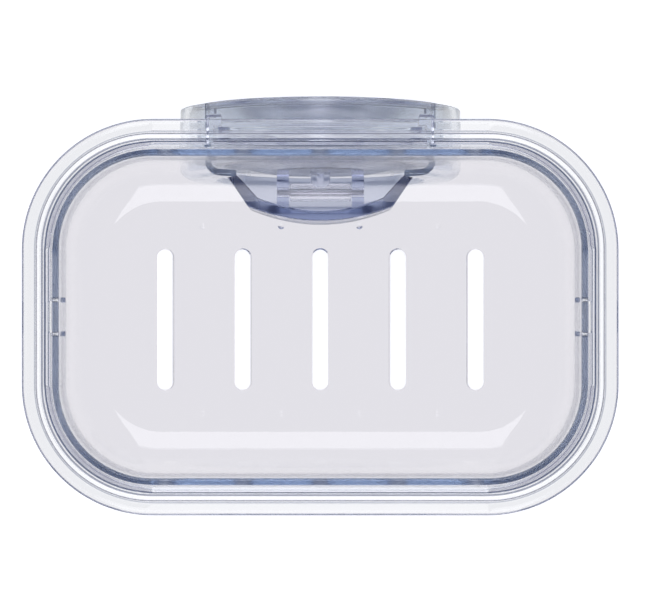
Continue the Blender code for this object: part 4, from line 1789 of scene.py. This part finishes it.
@dataclass
class LockLever:
    """The lever: a bowed hood with a thumb tab, hung on the pin by its two cams.

    Attributes:
        pin_depth: depth of the pin.
        back_depth: depth of the hood's back edge.
        corner_depth: depth of its front corners.
        front_depth: depth of the middle of its bowed front.
        half_back: its half width at the back.
        half_front: its half width at the front corners.
        wall: its wall thickness.
        radius: radius of its round bottom.
        top: height of its top edge over the pin.
        chamfer: size of the chamfer on its back top edge.
        edge: radius of its top rims.
        corner: radius of its front corners.
        cam_reach: how far the cams reach to the housing, locked and released.
        cam_gap: the cams' play.
        cam_spans: how far from the middle a cam starts and ends.
        cam_heel: how far a cam reaches down past its locked face.
        hole: radius of the hole for the pin.
        tab_width: width of the thumb tab.
        tab_thickness: its thickness.
        tab_end: how far it reaches down under the pin.
        tab_corner: radius of its lower corners.
        tab_edge: radius of its rims.
    """

    pin_depth: float = 21.9
    back_depth: float = 15.0
    corner_depth: float = 26.2
    front_depth: float = 30.0
    half_back: float = 26.0
    half_front: float = 19.4
    wall: float = 2.6
    radius: float = 26.2
    top: float = 2.5
    chamfer: float = 1.5
    edge: float = 0.35
    corner: float = 1.6
    cam_reach: Pair = (6.6, 3.1)
    cam_gap: float = 0.3
    cam_spans: Pair = (8.4, 11.6)
    cam_heel: float = 3.0
    hole: float = 1.5
    tab_width: float = 26.0
    tab_thickness: float = 2.4
    tab_end: float = 32.0
    tab_corner: float = 6.0
    tab_edge: float = 0.6

    @property
    def centre(self) -> Point:
        """The pin's centre, about which the lever is drawn."""
        return (0.0, -self.pin_depth, 0.0)

    def plan(self, wall: float, back: float) -> Outline:
        """The hood's outline from above.

        Args:
            wall: how far it is drawn in.
            back: how far behind the pin it ends.

        Returns:
            Its points, about the pin.
        """
        corner = self.pin_depth - self.corner_depth + wall
        front = self.pin_depth - self.front_depth + wall
        half_front = self.half_front - wall
        half_back = self.half_back - wall
        edge = self.pin_depth - self.back_depth
        radius = min(self.corner, self.wall - wall / 2)
        bow = []
        for i in range(BOW_STEPS + 1):
            share = 1 - 2 * i / BOW_STEPS
            at_end = i in (0, BOW_STEPS)
            along = front + (corner - front) * share**2
            bow.append((half_front * share, along, radius if at_end else 0.0))
        sides = [(-half_back, edge, 0.0), (half_back, edge, 0.0)]
        if back > edge:
            sides[1:1] = [(-half_back, back, 0.0), (half_back, back, 0.0)]
        return rounded(sides + bow)

    def cam(self) -> Outline:
        """The cam's outline.

        Returns:
            Its points, as (towards the wall, up) from the pin.
        """
        locked, released = self.cam_reach
        slope = (released - locked) / QUARTER_TURN
        face: Outline = []
        for i in range(CAM_STEPS + 1):
            angle = QUARTER_TURN * i / CAM_STEPS
            reach = locked - self.cam_gap + slope * angle
            across = reach * math.cos(angle) - slope * math.sin(angle)
            face.append((across, reach * math.sin(angle) + slope * math.cos(angle)))
        bite = self.pin_depth - self.front_depth + self.wall / 2
        foot = -locked - self.cam_heel
        face += [(bite, self.top - self.cam_gap), (bite, foot), (0.0, foot), (face[0][0], -locked)]
        return face

    def hood(self) -> bpy.types.Object:
        """The hood: the outer form less the inner one, both cut to their round bottoms.

        Returns:
            The hood.
        """
        back = self.pin_depth - self.back_depth
        far = self.front_depth + OVERSHOOT
        lowest = (-self.radius - OVERSHOOT, 0.0)
        levels = [lowest, *round_rim(self.top, self.edge, 1)]
        hood = lofted("lock_lever_hood", self.plan(0.0, back), levels, Axis.Z, self.centre)
        combine(hood, Boolean.TRIM, turned("round_form", box(0.0, self.radius, 0.0, far)))
        cut = [
            (back - 2 * self.chamfer, self.top + self.chamfer),
            (back + self.chamfer, self.top + self.chamfer),
            (back + self.chamfer, self.top - 2 * self.chamfer),
        ]
        wide = self.radius + OVERSHOOT
        tool = slab("back_chamfer", cut, Axis.X, (-wide, wide), centre=self.centre)
        combine(hood, Boolean.CUT, tool)
        levels = [lowest, *flared_rim(self.top, self.edge, 1), (self.top + OVERSHOOT, self.edge)]
        inner = self.plan(self.wall, back + OVERSHOOT)
        hollow = lofted("hollow", inner, levels, Axis.Z, self.centre)
        form = box(0.0, self.radius - self.wall, 0.0, far)
        combine(hollow, Boolean.TRIM, turned("round_hollow", form))
        combine(hood, Boolean.CUT, settle(hollow))
        return settle(hood)

    def tab(self) -> bpy.types.Object:
        """The thumb tab below the hood.

        Returns:
            The tab.
        """
        half = self.tab_width / 2
        root = self.wall / 2 - self.radius
        outline = rounded([
            (half, root, 0.0),
            (half, -self.tab_end, self.tab_corner),
            (-half, -self.tab_end, self.tab_corner),
            (-half, root, 0.0),
        ])
        front = self.pin_depth - self.front_depth + self.wall
        ends = (front, front + self.tab_thickness)
        return slab("thumb_tab", outline, Axis.Y, ends, self.tab_edge, self.centre)

    def build(self) -> None:
        """Builds and dresses the lever."""
        lever = self.hood()
        for side in Side:
            ends = side.span(*self.cam_spans)
            cam = slab(f"cam_{side.label}", self.cam(), Axis.X, ends, centre=self.centre)
            combine(lever, Boolean.ADD, cam)
        reach = self.cam_spans[1] + JOIN
        bore = slab("cam_bore", circle(self.hole), Axis.X, (-reach, reach), centre=self.centre)
        combine(lever, Boolean.CUT, bore)
        combine(lever, Boolean.ADD, self.tab())
        dress(settle(lever), LEVER_FINISH, "lock_lever", "lever")


# The studio


@dataclass
class Studio:
    """The white floor, the surround, the two long soft lamps and the camera.

    Attributes:
        camera: the camera's place in metres; it looks straight down.
        focal: its focal length, in millimetres.
        sensor: the width of its sensor, in millimetres.
        clip: how near and how far it sees, in metres.
        floor_level: the height of the floor, in metres.
        floor_radius: its radius, in metres.
        floor_colour: its colour under the lamps.
        bright_floor: how far from the dish the floor starts and ends to grow dim for glass.
        floor_glow: how much of the floor's white doesn't need the lamps, near and far.
        surround_colours: what gloss and glass see near by, at the horizon and overhead.
        horizon: the height at which the surround starts to grow dim, as a share of straight up.
        dim_glass: the height at which glass sees it darkest.
        dim_gloss: the height at which gloss sees it darkest.
        target: the point that the lamps are aimed at, in metres.
        lamp_distance: how far the lamps hang from the dish, in metres.
        lamp_tilt: how far they lean from the zenith, front and back.
        lamp_size: their length and width, in metres.
        lamp_power: the power of each, in watts.
        bounces: how often light may bounce, far enough to leave a wall that it runs down inside of.
    """

    camera: Point = (0.00057, -0.05244, 0.556)
    focal: float = 115.98
    sensor: float = 36.0
    clip: Pair = (0.01, 20.0)
    floor_level: float = -0.050
    floor_radius: float = 4.0
    floor_colour: str = "#E8E8E8"
    bright_floor: Pair = (0.32, 1.0)
    floor_glow: Pair = (0.82, 1.0)
    surround_colours: tuple[str, str, str] = ("#FFFFFF", "#B4BACA", "#6A7290")
    horizon: float = 0.02
    dim_glass: float = 0.45
    dim_gloss: float = 0.12
    target: Point = (0.0, -0.0554, 0.03)
    lamp_distance: float = 0.95
    lamp_tilt: float = math.radians(30.0)
    lamp_size: Pair = (0.34, 0.80)
    lamp_power: float = 1.48
    bounces: int = 80

    def floor(self) -> None:
        """A pale floor that the camera, gloss and glass see as white."""
        level = self.floor_level / MM
        outline = circle(self.floor_radius / MM, FLOOR_STEPS)
        corners = [(a, b, level) for a, b in outline]
        floor = mesh_object("studio_floor", corners, [tuple(range(FLOOR_STEPS))])
        made = bpy.data.materials.new("white_acrylic_sheet")
        tree = emptied(made)
        place = add_node(tree, "ShaderNodeTexCoord").outputs["Object"]
        distance = add_node(tree, "ShaderNodeVectorMath", {0: place}, operation="LENGTH")
        start, end = self.bright_floor
        span = {"Value": distance.outputs["Value"], "From Min": start, "From Max": end}
        least, most = self.floor_glow
        glow = add_node(tree, "ShaderNodeMapRange", {**span, "To Min": least, "To Max": most})
        far = add_node(tree, "ShaderNodeMapRange", span)
        near, horizon, _ = self.surround_colours
        colour = add_node(
            tree,
            "ShaderNodeMix",
            {0: far, MIX_A: linear(near), MIX_B: linear(horizon)},
            data_type="RGBA",
        )
        plain = add_node(tree, "ShaderNodeBsdfDiffuse", {"Color": linear(self.floor_colour)})
        white = add_node(tree, "ShaderNodeEmission", {"Strength": glow})
        # The camera sees the floor's own white and, near the dish, what the shadow leaves on it
        lit = add_node(tree, "ShaderNodeAddShader", {0: plain, 1: white})
        shown = add_node(tree, "ShaderNodeEmission", {"Color": colour.outputs[MIX_RESULT]})
        path = add_node(tree, "ShaderNodeLightPath").outputs
        glass = add_node(
            tree,
            "ShaderNodeMath",
            {0: path["Is Glossy Ray"], 1: path["Is Transmission Ray"]},
            operation="MAXIMUM",
        )
        through = add_node(tree, "ShaderNodeMixShader", {0: glass, 1: plain, 2: shown})
        mixed = add_node(
            tree, "ShaderNodeMixShader", {0: path["Is Camera Ray"], 1: through, 2: lit}
        )
        add_node(tree, "ShaderNodeOutputMaterial", {"Surface": mixed})
        floor.data.materials.append(made)

    def surround(self) -> None:
        """A world that is white to the camera and grows dim overhead for gloss and glass."""
        world = bpy.data.worlds.new("studio_surround")
        bpy.context.scene.world = world
        tree = emptied(world)
        way = add_node(tree, "ShaderNodeTexCoord").outputs["Generated"]
        height = add_node(tree, "ShaderNodeSeparateXYZ", {0: way}).outputs["Z"]
        path = add_node(tree, "ShaderNodeLightPath").outputs
        # Gloss sees the room grow dim just over the horizon, and glass sees it higher up
        last = add_node(
            tree,
            "ShaderNodeMapRange",
            {"Value": path["Is Glossy Ray"], "To Min": self.dim_glass, "To Max": self.dim_gloss},
        )
        rise = add_node(
            tree,
            "ShaderNodeMapRange",
            {"Value": height, "From Min": self.horizon, "From Max": last},
        )
        _, low, overhead = (linear(colour) for colour in self.surround_colours)
        dim = add_node(
            tree, "ShaderNodeMix", {0: rise, MIX_A: low, MIX_B: overhead}, data_type="RGBA"
        )
        shown = add_node(
            tree,
            "ShaderNodeMix",
            {0: path["Is Camera Ray"], MIX_A: dim.outputs[MIX_RESULT], MIX_B: WHITE},
            data_type="RGBA",
        )
        light = add_node(tree, "ShaderNodeBackground", {"Color": shown.outputs[MIX_RESULT]})
        add_node(tree, "ShaderNodeOutputWorld", {"Surface": light})

    def lamps(self) -> None:
        """Two long soft lamps over the dish, one towards the front and one towards the wall."""
        for row in Row:
            data = bpy.data.lights.new(f"soft_lamp_{row.label}", "AREA")
            data.shape = "RECTANGLE"
            data.size, data.size_y = self.lamp_size
            data.energy = self.lamp_power
            lamp = linked(data.name, data)
            away = Vector((0.0, row.value * math.sin(self.lamp_tilt), math.cos(self.lamp_tilt)))
            lamp.location = Vector(self.target) + away * self.lamp_distance
            lamp.rotation_euler = away.to_track_quat("Z", "Y").to_euler()
            lamp.visible_camera = False

    def view(self) -> None:
        """The camera, straight above the dish, the plain view transform and the light's bounces."""
        data = bpy.data.cameras.new("photo_camera")
        data.lens = self.focal
        data.sensor_width = self.sensor
        data.clip_start, data.clip_end = self.clip
        camera = linked(data.name, data)
        camera.location = self.camera
        scene = bpy.context.scene
        scene.camera = camera
        scene.view_settings.view_transform = "Standard"
        scene.cycles.max_bounces = self.bounces
        scene.cycles.transmission_bounces = self.bounces
        scene.cycles.glossy_bounces = self.bounces

    def build(self) -> None:
        """Sets up the whole studio."""
        self.floor()
        self.surround()
        self.lamps()
        self.view()


def main() -> None:
    """Builds the dish, the wall unit and the studio."""
    logging.basicConfig(level=logging.INFO, format="%(name)s: %(message)s")
    for part in (DishFrame(), SoapTray(), SuctionUnit(), WallBracket(), LockLever(), Studio()):
        part.build()
        LOG.info("%s done", type(part).__name__)


if __name__ == "__main__":
    main()
